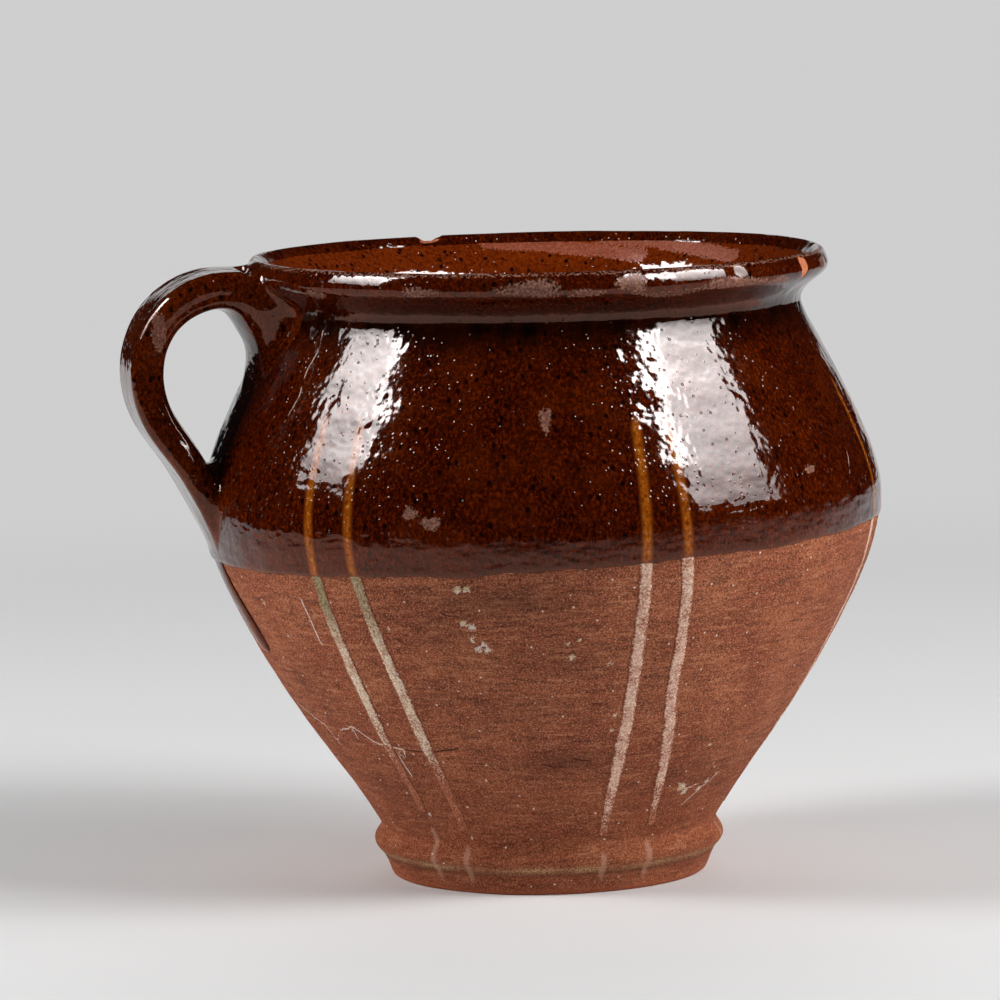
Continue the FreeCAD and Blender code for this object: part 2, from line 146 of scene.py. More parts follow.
# Flecks of lime and of slip on the clay: azimuth, height, half size
FLECKS = [
    (-70.9, 85.3, 1.0), (-26.4, 93.8, 1.7), (-24.8, 94.0, 1.5), (-26.2, 83.8, 1.7), (-24.6, 82.8, 1.6),
    (-24.9, 79.0, 1.3), (-24.1, 76.3, 1.5), (-22.9, 77.8, 1.3), (-22.4, 76.0, 1.5), (-7.9, 77.5, 1.2),
    (-7.1, 73.5, 1.5), (-5.8, 78.8, 1.1), (0.3, 71.2, 1.1), (2.5, 55.2, 1.2), (2.4, 50.6, 1.1),
    (-40.4, 81.6, 1.1), (28.6, 29.8, 2.2), (30.6, 28.2, 1.6), (36.6, 28.2, 1.5), (38.4, 30.4, 1.3),
    (-50.6, 23.4, 0.9), (-38.0, 16.5, 0.9), (0.6, 90.2, 0.8), (33.0, 88.0, 0.8), (-33.0, 62.0, 0.8),
    (31.0, 42.4, 1.1), (35.6, 44.9, 1.1), (112.0, 66.0, 1.5), (96.0, 40.0, 1.2), (160.0, 54.0, 1.4),
    (-150.0, 74.0, 1.3), (-120.0, 52.0, 1.2), (-170.0, 33.0, 1.0), (75.0, 83.0, 0.9),
]
# Cloudy stains on the clay: azimuth, height, half size round the jar, half size up, and how dark
STAINS = [
    (-19.0, 90.0, 22.0, 6.0, 0.9), (-32.0, 84.0, 9.0, 9.0, 0.5), (-8.0, 73.0, 22.0, 5.0, 0.5),
    (-36.0, 60.0, 12.0, 8.0, 0.4), (-7.0, 41.0, 13.0, 5.5, 0.9), (-57.0, 32.0, 12.0, 10.0, 0.6),
    (-16.0, 58.0, 16.0, 6.0, 0.4), (8.0, 64.0, 9.0, 8.0, 0.3), (-70.0, 60.0, 10.0, 10.0, 0.4),
    (30.0, 34.0, 16.0, 8.0, 0.4), (130.0, 70.0, 24.0, 9.0, 0.7), (-150.0, 50.0, 20.0, 10.0, 0.6),
    (180.0, 84.0, 24.0, 7.0, 0.5), (85.0, 45.0, 14.0, 9.0, 0.5),
]
# The run of glaze below the handle: azimuth, height, half width, thickness
RUN = [(-89.0, 97.0, 6.2, 0.3), (-87.4, 92.5, 5.4, 0.7), (-85.0, 86.0, 4.7, 0.9), (-83.2, 79.0, 4.4, 1.05),
       (-82.4, 74.0, 4.0, 1.15), (-82.3, 70.5, 2.9, 0.9), (-82.3, 68.9, 0.9, 0.25)]


def spline(knots, values, at):
    """A cubic spline with free ends through the values at the knots, read at the places in at."""
    gaps = np.diff(knots)
    system = np.eye(len(knots))
    pull = np.zeros(len(knots))
    for i in range(1, len(knots) - 1):
        system[i, i - 1:i + 2] = gaps[i - 1], 2 * (gaps[i - 1] + gaps[i]), gaps[i]
        pull[i] = 6 * ((values[i + 1] - values[i]) / gaps[i] - (values[i] - values[i - 1]) / gaps[i - 1])
    bend = np.linalg.solve(system, pull)
    i = np.clip(np.searchsorted(knots, at, side="right") - 1, 0, len(gaps) - 1)
    ahead, past = knots[i + 1] - at, at - knots[i]
    curved = (bend[i] * ahead ** 3 + bend[i + 1] * past ** 3) / (6 * gaps[i])
    straight = ((values[i] / gaps[i] - bend[i] * gaps[i] / 6) * ahead
                + (values[i + 1] / gaps[i] - bend[i + 1] * gaps[i] / 6) * past)
    return curved + straight


def smooth_line(points, step):
    """Evenly spaced points, about a step apart, on a smooth curve through the given ones."""
    points = np.array(points, float)
    knots = np.concatenate([[0], np.cumsum(np.linalg.norm(np.diff(points, axis=0), axis=1))])
    at = np.linspace(0, knots[-1], max(2, int(knots[-1] / step)))
    return np.stack([spline(knots, column, at) for column in points.T], axis=1)


def softened(values, spread):
    """A row of values with its corners rounded over so many places."""
    reach = int(4 * spread)
    weights = np.exp(-0.5 * (np.arange(-reach, reach + 1) / spread) ** 2)
    padded = np.concatenate([2 * values[0] - values[reach:0:-1], values, 2 * values[-1] - values[-2:-reach - 2:-1]])
    return np.convolve(padded, weights / weights.sum(), mode="valid")


class Outline:
    """The clay's outline, which is walked from the middle of the base to the middle of the floor."""

    STEP = 0.1

    def __init__(self, stretches, corner):
        lines = [smooth_line(stretch, self.STEP) for stretch in stretches]
        line = np.vstack([lines[0]] + [part[1:] for part in lines[1:]])
        walked = np.concatenate([[0], np.cumsum(np.linalg.norm(np.diff(line, axis=0), axis=1))])
        self.place = np.arange(0, walked[-1], self.STEP)
        self.radius, self.height = (softened(np.interp(self.place, walked, column), corner / self.STEP)
                                    for column in line.T)
        along = np.gradient(self.radius), np.gradient(self.height)
        length = np.hypot(*along)
        self.out, self.up = along[1] / length, -along[0] / length
        self.crest = self.place[np.argmax(self.height)]
        self.end = self.place[-1]

    def outside_at(self, height):
        """The place on the outside at a height."""
        outside = (self.place < self.crest) & (self.radius > FOOT[0][0])
        return np.interp(height, self.height[outside], self.place[outside])

    def read(self, name, place):
        return np.interp(place, self.place, getattr(self, name))

    def points(self, place, azimuth, lift):
        """Points in space, in millimetres, lifted off the true outline."""
        radius = self.read("radius", place) + self.read("out", place) * lift
        height = self.read("height", place) + self.read("up", place) * lift
        turn = np.radians(azimuth)
        return np.stack([radius * np.sin(turn), -radius * np.cos(turn), height + 0 * turn], axis=-1)


outline = Outline([BASE, FOOT, FOOT_BULGE, WALL, BAND, CREST, INSIDE], SOFT_CORNER)

# Slow waves in the wall: depth, waves round the jar, millimetres of height per radian, start
WAVES = [(0.11, 2, 70.0, 0.4), (0.07, 3, 41.0, 2.1), (0.04, 7, 23.0, 4.0)]
WAVES_DEEP = sum(wave[0] for wave in WAVES)
FINGER_PITCH, FINGER_DEEP = 10.5, 0.035      # rise of the wall for each turn while it was pulled
RIB_PITCH, RIB_DEEP = 2.3, 0.008             # finer lines from the last smoothing


def hand_marks(azimuth, place):
    """How far the thrown wall stands back from its outline: slow waves, and spirals left by fingers."""
    turn = np.radians(azimuth)
    height = outline.read("height", place)
    waves = sum(deep * np.cos(count * turn + height / rise + start) for deep, count, rise, start in WAVES)
    on_wall = np.clip((height - 17) / 14, 0, 1) * np.clip((168 - height) / 12, 0, 1)
    fingers = FINGER_DEEP * np.cos(2 * np.pi * height / FINGER_PITCH + turn + 0.6 * np.sin(2 * turn))
    ribs = RIB_DEEP * np.cos(2 * np.pi * height / RIB_PITCH + 3 * np.sin(height / 13) + turn)
    stood_back = waves - WAVES_DEEP + (fingers - FINGER_DEEP + ribs - RIB_DEEP) * on_wall
    return stood_back * np.clip(height / 4, 0, 1)


def wrapped(degrees):
    """An angle brought between -180 and 180."""
    return (degrees + 180) % 360 - 180


def patch(azimuth, place, centre_azimuth, centre_place, half_round, half_over):
    """Distance from a patch's middle, which is 1 at its edge. The patch is a little three-sided."""
    radius = outline.read("radius", centre_place)
    across = np.radians(wrapped(azimuth - centre_azimuth)) * radius / half_round
    over = (place - centre_place) / half_over
    return np.hypot(across, over) * (1 + 0.16 * np.cos(3 * np.arctan2(over, across) + centre_azimuth))


def chip_depth(azimuth, place):
    """How deep the chips cut at each point, in millimetres."""
    depth = np.zeros(np.broadcast(azimuth, place).shape)
    for centre, past_crest, half_round, half_over, deep, bare in CHIPS:
        away = patch(azimuth, place, centre, outline.crest + past_crest, half_round, half_over)
        depth = np.maximum(depth, deep * np.clip(1.15 - away, 0, 1))
    return depth


def lumpy(points, grain, seed):
    """Smooth noise from -1 to 1 at points in millimetres, with lumps about a grain across."""
    shift = Vector((seed * 17.3, seed * 5.1, seed * 9.7))
    flat = points.reshape(-1, 3) / grain
    return np.array([noise.noise(Vector(point) + shift) for point in flat]).reshape(points.shape[:-1])


def mesh_piece(name, points, faces, material):
    """An object made of points in millimetres and faces, shaded smooth, with its faces outwards."""
    mesh = bpy.data.meshes.new(name)
    mesh.from_pydata((np.asarray(points) * MM).tolist(), [], faces)
    mesh.polygons.foreach_set("use_smooth", [True] * len(mesh.polygons))
    mesh.materials.append(material)
    piece = bpy.data.objects.new(name, mesh)
    bpy.context.scene.collection.objects.link(piece)
    return piece


def woven(name, rings, material, closed):
    """A mesh over rings of points. A closed one meets itself; any other ends in a point at each end."""
    count, around = rings.shape[:2]
    corner = np.arange(count * around).reshape(count, around)
    low = corner if closed else corner[:-1]
    high = np.roll(corner, -1, axis=0) if closed else corner[1:]
    quads = np.stack([low, np.roll(low, -1, axis=1), np.roll(high, -1, axis=1), high], axis=-1)
    faces = quads.reshape(-1, 4).tolist()
    points = rings.reshape(-1, 3)
    if not closed:
        first, last = len(points), len(points) + 1
        points = np.vstack([points, rings[0].mean(axis=0), rings[-1].mean(axis=0)])
        ends = zip(corner[0], np.roll(corner[0], -1), corner[-1], np.roll(corner[-1], -1))
        for low_here, low_next, high_here, high_next in ends:
            faces.append([first, int(low_next), int(low_here)])
            faces.append([int(high_here), int(high_next), last])
    return mesh_piece(name, points, faces, material)


def note(piece, name, values):
    """Keeps a number at each point of a piece, which its material reads."""
    values = np.asarray(values, np.float32).ravel()
    kept = np.full(len(piece.data.vertices), values[-1] if len(values) else 0, np.float32)
    kept[:len(values)] = values
    piece.data.attributes.new(name, "FLOAT", "POINT").data.foreach_set("value", kept)


def stands_for(piece, slot, *nodes):
    """The piece rides on the jar's one body and stands for these nodes; the slot is not used."""
    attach(piece, "root")
    if nodes:
        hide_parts(*nodes)


def line_azimuth(line, height):
    """The azimuth of a slip line's middle at a height."""
    top, bottom = line[4:]
    return np.interp(height, (bottom, SLIP_KNOT_HEIGHTS[1], SLIP_KNOT_HEIGHTS[0], top), line[3::-1])


def sum_of_marks(points, marks):
    """How strongly scratches and flecks show at points: 1 at their middles, and 0 a size away."""
    strongest = np.zeros(points.shape[:-1])
    for middle, size in marks:
        away = np.linalg.norm(points - middle, axis=-1)
        strongest = np.maximum(strongest, np.clip(1 - away / size, 0, 1))
    return strongest


def on_outside(azimuth, height, lift=0.0):
    return outline.points(outline.outside_at(height), np.array(azimuth, float), lift)


def inside_at(azimuth, height):
    """A point inside the rim at a height."""
    inner = (outline.place > outline.crest) & (outline.place < outline.crest + 17)
    place = np.interp(-height, -outline.height[inner], outline.place[inner])
    return outline.points(place, np.array(azimuth, float), 0.0)


def beside_lines(points, lines, reach, at=on_outside):
    """How far points lie to the side of the nearest line, signed so that it is zero along the line, and
    how near they are to it: 1 on the line, and 0 a reach away."""
    side, nearest = np.full(points.shape[:-1], np.inf), np.full(points.shape[:-1], np.inf)
    for line in lines:
        corners = np.array([at(*corner) for corner in line])
        for first, last in zip(corners, corners[1:]):
            along = last - first
            share = np.clip((points - first) @ along / (along @ along), 0, 1)
            away = points - first - share[..., None] * along
            distance = np.linalg.norm(away, axis=-1)
            facing = np.cross(along, first * (1, 1, 0))
            closer = distance < nearest
            side = np.where(closer, np.copysign(distance, away @ facing), side)
            nearest = np.where(closer, distance, nearest)
    return np.clip(side, -reach, reach), np.clip(1 - nearest / reach, 0, 1)


# Surfaces. Each is made of nodes whose sizes are in millimetres, read from the place on the jar.

def paint(hex_colour):
    """A linear colour from its sRGB hex value."""
    channels = [int(hex_colour[i:i + 2], 16) / 255 for i in (1, 3, 5)]
    linear = [c / 12.92 if c <= 0.04045 else ((c + 0.055) / 1.055) ** 2.4 for c in channels]
    return (*linear, 1.0)


def add(tree, kind, inputs=None, output=0, **settings):
    """Adds a node with its settings, sets or links its inputs, and returns one of its outputs."""
    node = tree.nodes.new("ShaderNode" + kind)
    for name, value in settings.items():
        setattr(node, name, value)
    for key, value in (inputs or {}).items():
        if isinstance(value, bpy.types.NodeSocket):
            tree.links.new(value, node.inputs[key])
        else:
            node.inputs[key].default_value = value
    return node.outputs[output] if node.outputs else None


def new_surface(name):
    """A material with an empty tree, and the place on the jar in millimetres."""
    material = bpy.data.materials.new(name)
    material.use_nodes = True
    tree = material.node_tree
    tree.nodes.clear()
    where = add(tree, "TexCoord", output="Object")
    return material, tree, add(tree, "VectorMath", {0: where, "Scale": 1 / MM}, operation="SCALE")


def finish_surface(tree, **inputs):
    """Ends a tree in one Principled shader, whose inputs are named with underscores."""
    shader = add(tree, "BsdfPrincipled", {key.replace("_", " "): value for key, value in inputs.items()})
    add(tree, "OutputMaterial", {"Surface": shader})


def stretched(tree, where, factors):
    return add(tree, "VectorMath", {0: where, 1: factors}, operation="MULTIPLY")


def share_of(tree, value, low, high):
    """0 below low, 1 above high, and smooth between."""
    return add(tree, "MapRange", {0: value, 1: low, 2: high}, interpolation_type="SMOOTHSTEP")


def blend(tree, factor, first, second):
    return add(tree, "Mix", {0: factor, 6: first, 7: second}, output=2, data_type="RGBA")


def total(tree, *terms):
    """The sum of values, each given with its weight."""
    found = 0.0
    for value, weight in terms:
        found = add(tree, "Math", {0: value, 1: weight, 2: found}, operation="MULTIPLY_ADD")
    return found


def specks(tree, where, spacing, radius, share):
    """Round specks: 1 in the middle of each, about a spacing apart, in a share of the places."""
    cells = add(tree, "TexVoronoi", {"Vector": where, "Scale": 1 / spacing})
    chosen = add(tree, "TexVoronoi", {"Vector": where, "Scale": 1 / spacing}, output="Color")
    picked = add(tree, "Math", {0: add(tree, "SeparateColor", {0: chosen}), 1: share}, operation="LESS_THAN")
    round_speck = share_of(tree, cells, radius / spacing, 0.35 * radius / spacing)
    return add(tree, "Math", {0: round_speck, 1: picked}, operation="MULTIPLY")


def noted(tree, name):
    return add(tree, "Attribute", output="Fac", attribute_name=name)


def thin_line(tree, name, half_width):
    """1 on the scratches whose signed distances are noted, and 0 beside them."""
    off = add(tree, "Math", {0: noted(tree, name + "_beside")}, operation="ABSOLUTE")
    on = share_of(tree, off, half_width, 0.4 * half_width)
    return add(tree, "Math", {0: on, 1: share_of(tree, noted(tree, name + "_near"), 0.05, 0.5)}, operation="MULTIPLY")


def lead_glaze(name, deep, brown, bright, worn_and_reflection_colours=("#643626", "#ab7f68"), has_lines=False):
    """Lead glaze over red clay, dipped and fired once: dark brown glass with a high index, so its lights
    are strong and sharp. It ran and boiled a little, which leaves orange peel and burst bubbles, and
    grains of iron show through it as dark specks in a rust and brown mottle."""
    material, tree, where = new_surface(name)
    hanging = stretched(tree, where, (1.0, 1.0, 0.7))

    cloud = add(tree, "TexNoise", {"Vector": where, "Scale": 1 / 13, "Detail": 3.0})
    mottle = add(tree, "TexNoise", {"Vector": hanging, "Scale": 1 / 0.95, "Detail": 4.0, "Roughness": 0.8})
    iron = specks(tree, add(tree, "VectorMath", {0: hanging, 1: (2.9, 6.3, 4.4)}), 2.4, 0.9, 0.45)
    colour = blend(tree, share_of(tree, mottle, 0.32, 0.54), paint(deep), paint(brown))
    rust = total(tree, (share_of(tree, mottle, 0.49, 0.68), 0.6), (share_of(tree, cloud, 0.40, 0.70), 0.14))
    colour = blend(tree, rust, colour, paint(bright))
    colour = blend(tree, total(tree, (iron, 0.95)), colour, paint("#060101"))

    peel = add(tree, "TexNoise", {"Vector": where, "Scale": 1 / 4.2, "Detail": 1.0})
    fine_peel = add(tree, "TexNoise", {"Vector": where, "Scale": 1 / 2.1, "Detail": 0.0})
    pits = specks(tree, where, 2.3, 0.5, 0.45)
    pimples = specks(tree, add(tree, "VectorMath", {0: where, 1: (5.3, 1.7, 8.1)}), 1.7, 0.45, 0.4)
    high_pimples = specks(tree, add(tree, "VectorMath", {0: where, 1: (1.3, 9.7, 3.1)}), 2.8, 0.5, 0.2)
    height = total(tree, (peel, 0.065), (fine_peel, 0.042), (pits, -0.09), (pimples, 0.035),
                   (high_pimples, 0.085), (cloud, 0.7))

    roughness = total(tree, (share_of(tree, cloud, 0.3, 0.7), 0.03), (pits, 0.2))
    roughness = add(tree, "Math", {0: roughness, 1: 0.05}, operation="ADD")

    if has_lines:
        away = noted(tree, "from_line")
        fading = add(tree, "Math", {0: 1.0, 1: noted(tree, "line_shows")}, operation="SUBTRACT")
        ragged = total(tree, (mottle, 3.0), (cloud, 0.8), (away, 1.0), (fading, 2.2))
        on_line = share_of(tree, ragged, 3.9, 2.4)
        amber = blend(tree, share_of(tree, mottle, 0.36, 0.56), paint("#642604"), paint("#a5560f"))
        amber = blend(tree, share_of(tree, mottle, 0.57, 0.68), amber, paint("#dca456"))
        colour = blend(tree, on_line, colour, amber)
        thin = share_of(tree, noted(tree, "above_edge"), 2.4, 0.2)
        colour = blend(tree, total(tree, (thin, 0.35)), colour, paint("#482718"))
        # Darker in a band below the neck
        colour = blend(tree, total(tree, (noted(tree, "darker_below_neck"), 0.85)), colour, paint("#0b0200"))
        sagged = add(tree, "TexNoise", {"Vector": stretched(tree, where, (0.35, 0.35, 1.0)), "Scale": 1 / 2.8,
                                        "Detail": 1.0})
        low = share_of(tree, noted(tree, "above_edge"), 20.0, 8.0)
        lowest = share_of(tree, noted(tree, "above_edge"), 12.0, 7.0)
        height = total(tree, (height, 1.0), (add(tree, "Math", {0: sagged, 1: low}, operation="MULTIPLY"), 0.42),
                       (add(tree, "Math", {0: mottle, 1: lowest}, operation="MULTIPLY"), 0.14))

    grain = add(tree, "TexNoise", {"Vector": where, "Scale": 1 / 0.7, "Detail": 3.0, "Roughness": 0.6})
    # Rubbed, matt places, and on the inside coat pale pink streaks of painted reflection
    worn_and_reflected = total(tree, (noted(tree, "rubbed_and_reflection"), 1.0), (grain, 2.2), (cloud, 0.5))
    rubbed_and_reflection = add(tree, "Math", {0: share_of(tree, worn_and_reflected, 1.5, 1.9), 1: share_of(tree, noted(tree, "rubbed_and_reflection"), 0.03, 0.25)},
                 operation="MULTIPLY")
    rubbed_and_reflection_colour = blend(tree, share_of(tree, grain, 0.42, 0.66), *map(paint, worn_and_reflection_colours))
    colour = blend(tree, total(tree, (rubbed_and_reflection, 0.62)), colour, rubbed_and_reflection_colour)
    bare = share_of(tree, total(tree, (noted(tree, "bare"), 1.0), (grain, 0.3)), 0.5, 0.6)
    colour = blend(tree, bare, colour, blend(tree, grain, paint("#a8502c"), paint("#dd8a5c")))
    scratch = thin_line(tree, "scratch", 0.28)
    scratch = add(tree, "Math", {0: scratch, 1: share_of(tree, peel, 0.46, 0.54)}, operation="MULTIPLY")
    colour = blend(tree, total(tree, (scratch, 0.75)), colour, paint("#c3a597"))
    dull = total(tree, (rubbed_and_reflection, 0.4), (bare, 0.8), (scratch, 0.4))
    roughness = add(tree, "Math", {0: roughness, 1: dull}, operation="ADD")
    height = total(tree, (height, 1.0), (rubbed_and_reflection, -0.02), (grain, 0.01), (scratch, -0.03))

    bump = add(tree, "Bump", {"Height": height, "Distance": MM})
    finish_surface(tree, Base_Color=colour, Roughness=roughness, IOR=1.62, Normal=bump)
    return material


def turned_earthenware():
    """Red earthenware, thrown, turned and wiped with a sponge: matt, with fine lines round the jar whose grooves
    carry painted shade, sand in two tones, specks of lime, smoky stains, and paler ridges."""
    material, tree, where = new_surface("turned_earthenware")
    banded = stretched(tree, where, (0.12, 0.12, 1.0))

    cloud = add(tree, "TexNoise", {"Vector": where, "Scale": 1 / 17, "Detail": 4.0, "Roughness": 0.6})
    smear = add(tree, "TexNoise", {"Vector": stretched(tree, where, (0.3, 0.3, 1.0)), "Scale": 1 / 4.0,
                                   "Detail": 3.0, "Distortion": 0.6})
    lines = add(tree, "TexNoise", {"Vector": banded, "Scale": 1 / 1.1, "Detail": 3.0, "Roughness": 0.7})
    sand = add(tree, "TexNoise", {"Vector": where, "Scale": 1 / 0.48, "Detail": 2.0, "Roughness": 0.8})
    grit = add(tree, "TexNoise", {"Vector": where, "Scale": 1 / 1.3, "Detail": 2.0, "Roughness": 0.6})
    shaded_pores = specks(tree, where, 2.0, 0.42, 0.5)
    grog = specks(tree, add(tree, "VectorMath", {0: where, 1: (3.1, 7.7, 2.3)}), 2.6, 0.36, 0.3)
    lime = specks(tree, add(tree, "VectorMath", {0: where, 1: (9.4, 2.2, 5.8)}), 3.6, 0.42, 0.6)
    stain = noted(tree, "stain")

    colour = blend(tree, share_of(tree, cloud, 0.36, 0.66), paint("#934a2e"), paint("#aa613f"))
    colour = blend(tree, total(tree, (share_of(tree, smear, 0.48, 0.70), 0.35)), colour, paint("#744029"))
    # Painted shade in the grooves of the turning lines, and paler on their ridges
    line_groove_shade = share_of(tree, total(tree, (lines, 1.0), (stain, 0.07)), 0.51, 0.66)
    colour = blend(tree, total(tree, (line_groove_shade, 0.72)), colour, paint("#602f1d"))
    colour = blend(tree, total(tree, (share_of(tree, lines, 0.46, 0.32), 0.6)), colour, paint("#c8865e"))
    colour = blend(tree, total(tree, (share_of(tree, grit, 0.48, 0.32), 0.5)), colour, paint("#5a2a18"))
    colour = blend(tree, total(tree, (share_of(tree, sand, 0.48, 0.36), 0.75)), colour, paint("#48200f"))
    colour = blend(tree, total(tree, (share_of(tree, sand, 0.53, 0.66), 0.66)), colour, paint("#dc9e78"))
    low = share_of(tree, add(tree, "SeparateXYZ", {0: where}, output="Z"), 62.0, 12.0)
    colour = blend(tree, total(tree, (low, 0.28)), colour, paint("#743818"))
    colour = blend(tree, total(tree, (stain, 0.5)), colour, paint("#56311c"))
    # Painted shade: the pores are darkened as shaded pits
    colour = blend(tree, total(tree, (shaded_pores, 0.7)), colour, paint("#3c1d12"))
    colour = blend(tree, total(tree, (grog, 0.6)), colour, paint("#dba07a"))
    colour = blend(tree, total(tree, (lime, 0.9)), colour, paint("#f3e6da"))

    chalk = share_of(tree, total(tree, (noted(tree, "chalk"), 1.3), (sand, 1.7)), 1.15, 1.4)
    chalk = add(tree, "Math", {0: chalk, 1: share_of(tree, noted(tree, "chalk"), 0.03, 0.2)}, operation="MULTIPLY")
    chalk_line = add(tree, "Math", {0: thin_line(tree, "chalk", 0.36), 1: share_of(tree, sand, 0.30, 0.5)},
                     operation="MULTIPLY")
    chalky = blend(tree, share_of(tree, smear, 0.42, 0.60), paint("#d8c09a"), paint("#eedfd2"))
    colour = blend(tree, total(tree, (chalk, 0.8)), colour, chalky)
    colour = blend(tree, total(tree, (chalk_line, 0.8)), colour, paint("#ecdfd4"))
    dark_line = thin_line(tree, "dark", 0.5)
    colour = blend(tree, total(tree, (dark_line, 0.8)), colour, paint("#3a1a10"))
    # Painted shade in the crease under the foot's bulge
    colour = blend(tree, total(tree, (noted(tree, "foot_crease_shade"), 0.6)), colour, paint("#4c2a1c"))
    khaki = add(tree, "Math", {0: noted(tree, "khaki"), 1: share_of(tree, sand, 0.36, 0.6)}, operation="MULTIPLY")
    colour = blend(tree, total(tree, (khaki, 0.95)), colour, paint("#c2a678"))
    faint = total(tree, (noted(tree, "faint_slip"), 1.0), (sand, 1.0))
    faint = add(tree, "Math", {0: share_of(tree, faint, 0.75, 1.3), 1: noted(tree, "faint_slip")},
                operation="MULTIPLY")
    colour = blend(tree, total(tree, (faint, 0.4)), colour, paint("#d2a58c"))
    colour = blend(tree, total(tree, (noted(tree, "rubbed_base"), 0.6)), colour, paint("#c0683f"))

    height = total(tree, (sand, 0.2), (lines, -0.14), (cloud, 0.15), (shaded_pores, -0.12), (grog, 0.06),
                   (dark_line, -0.15), (chalk, 0.03), (smear, 0.10))
    bump = add(tree, "Bump", {"Height": height, "Distance": MM})
    finish_surface(tree, Base_Color=colour, Roughness=0.88, IOR=1.5, Normal=bump,
                   Specular_IOR_Level=0.3)
    return material


def brushed_slip(name, dull, fresh):
    """White slip, brushed on thin while the clay was damp and not glazed here: matt and chalky, with the
    clay's sand showing through it, thin at its edges, and stained olive where the glaze ends above it."""
    material, tree, where = new_surface(name)
    sand = add(tree, "TexNoise", {"Vector": where, "Scale": 1 / 0.6, "Detail": 2.0, "Roughness": 0.8})
    clouds = add(tree, "TexNoise", {"Vector": where, "Scale": 1 / 4.0, "Detail": 2.0})
    thin_edge = share_of(tree, noted(tree, "to_edge"), 0.6, 1.0)
    covered = total(tree, (sand, 2.2), (clouds, 0.6), (noted(tree, "covers"), 1.0), (thin_edge, -0.55))
    covered = share_of(tree, covered, 1.15, 1.75)
    clay = blend(tree, share_of(tree, sand, 0.38, 0.62), paint("#834630"), paint("#b5704f"))
    slip = blend(tree, share_of(tree, clouds, 0.38, 0.62), paint(dull), paint(fresh))
    slip = blend(tree, share_of(tree, sand, 0.50, 0.70), slip, paint("#f7e6d6"))
    stained = blend(tree, share_of(tree, sand, 0.36, 0.64), paint("#6b6044"), paint("#a99a74"))
    slip = blend(tree, noted(tree, "stained"), slip, stained)
    colour = blend(tree, covered, clay, slip)
    bump = add(tree, "Bump", {"Height": total(tree, (sand, 0.10), (covered, 0.05)), "Distance": MM})
    finish_surface(tree, Base_Color=colour, Roughness=0.9, IOR=1.5, Normal=bump,
                   Specular_IOR_Level=0.3)
    return material


# Pieces

def throw_body(material):
    """The thrown clay: base, turned foot, wall, rolled rim and inside, as one closed skin."""
    seen_top = outline.outside_at(DIP_HEIGHT + DIP_TILT_RISE + 2)
    foot_edge = outline.place[np.argmax(outline.radius > FOOT[0][0] - 1.0)]
    place = np.concatenate([
        np.linspace(4, foot_edge, 6)[:-1],
        np.linspace(foot_edge, seen_top, 114),
        np.linspace(seen_top, outline.crest - 6, 24)[1:],
        np.linspace(outline.crest - 6, outline.crest + 6, 7)[1:],
        np.linspace(outline.crest + 6, outline.crest + 36, 10)[1:],
        np.linspace(outline.crest + 36, outline.end - 4, 14)[1:],
    ])
    azimuth = np.arange(560) * 360 / 560
    place, azimuth = np.meshgrid(place, azimuth, indexing="ij")
    marks = hand_marks(azimuth, place)
    true = outline.points(place, azimuth, 0)
    dents = np.zeros(place.shape)
    seen = (place[:, 0] >= foot_edge) & (place[:, 0] <= seen_top)
    dents[seen] = 0.10 * lumpy(true[seen], 13, 1) + 0.05 * lumpy(true[seen], 4, 2) - 0.12
    coated = np.clip((place - seen_top + 3) / 4, 0, 1)
    points = outline.points(place, azimuth, marks + dents - coated)
    piece = woven("thrown_clay", points, material, closed=False)

    height = points[..., 2]
    outside = place < outline.crest
    note(piece, "chalk", sum_of_marks(points, [(on_outside(a, h), size) for a, h, size in FLECKS]))
    note_scratches(piece, "chalk", points, CHALK_SCRATCHES)
    note_scratches(piece, "dark", points, DARK_SCRATCHES)
    stain = np.zeros(place.shape)
    for centre, middle, half_round, half_up, dark in STAINS:
        away = patch(azimuth, place, centre, outline.outside_at(middle), half_round, half_up)
        stain = np.maximum(stain, dark * np.exp(-away ** 2))
    stain[seen] *= 1 + 0.6 * lumpy(true[seen], 6, 9)
    note(piece, "stain", stain * outside)
    # Painted shade in the crease under the foot's bulge
    note(piece, "foot_crease_shade", np.exp(-((height - 6.4) / 0.8) ** 2) * outside)
    note(piece, "khaki", np.exp(-((height - 7.6) / 0.8) ** 2) * outside * (0.6 + lumpy(true, 8, 5)))
    note(piece, "rubbed_base", np.exp(-(height / 1.2) ** 2) * outside)
    faint = np.zeros(place.shape)
    for line in SLIP_LINES.values():
        off = np.radians(wrapped(azimuth - line[3])) * outline.read("radius", place)
        fading = np.clip((line[5] - 3 - height) / 3, 0, 1) * np.clip(height / 6, 0, 1)
        faint = np.maximum(faint, np.exp(-(off / 1.3) ** 2) * fading)
    note(piece, "faint_slip", faint * outside)
    stands_for(piece, "earthenware", "thrown_body")
    return piece


def note_scratches(piece, name, points, scratches):
    side, near = beside_lines(points, scratches, 1.7)
    note(piece, name + "_beside", side)
    note(piece, name + "_near", near)


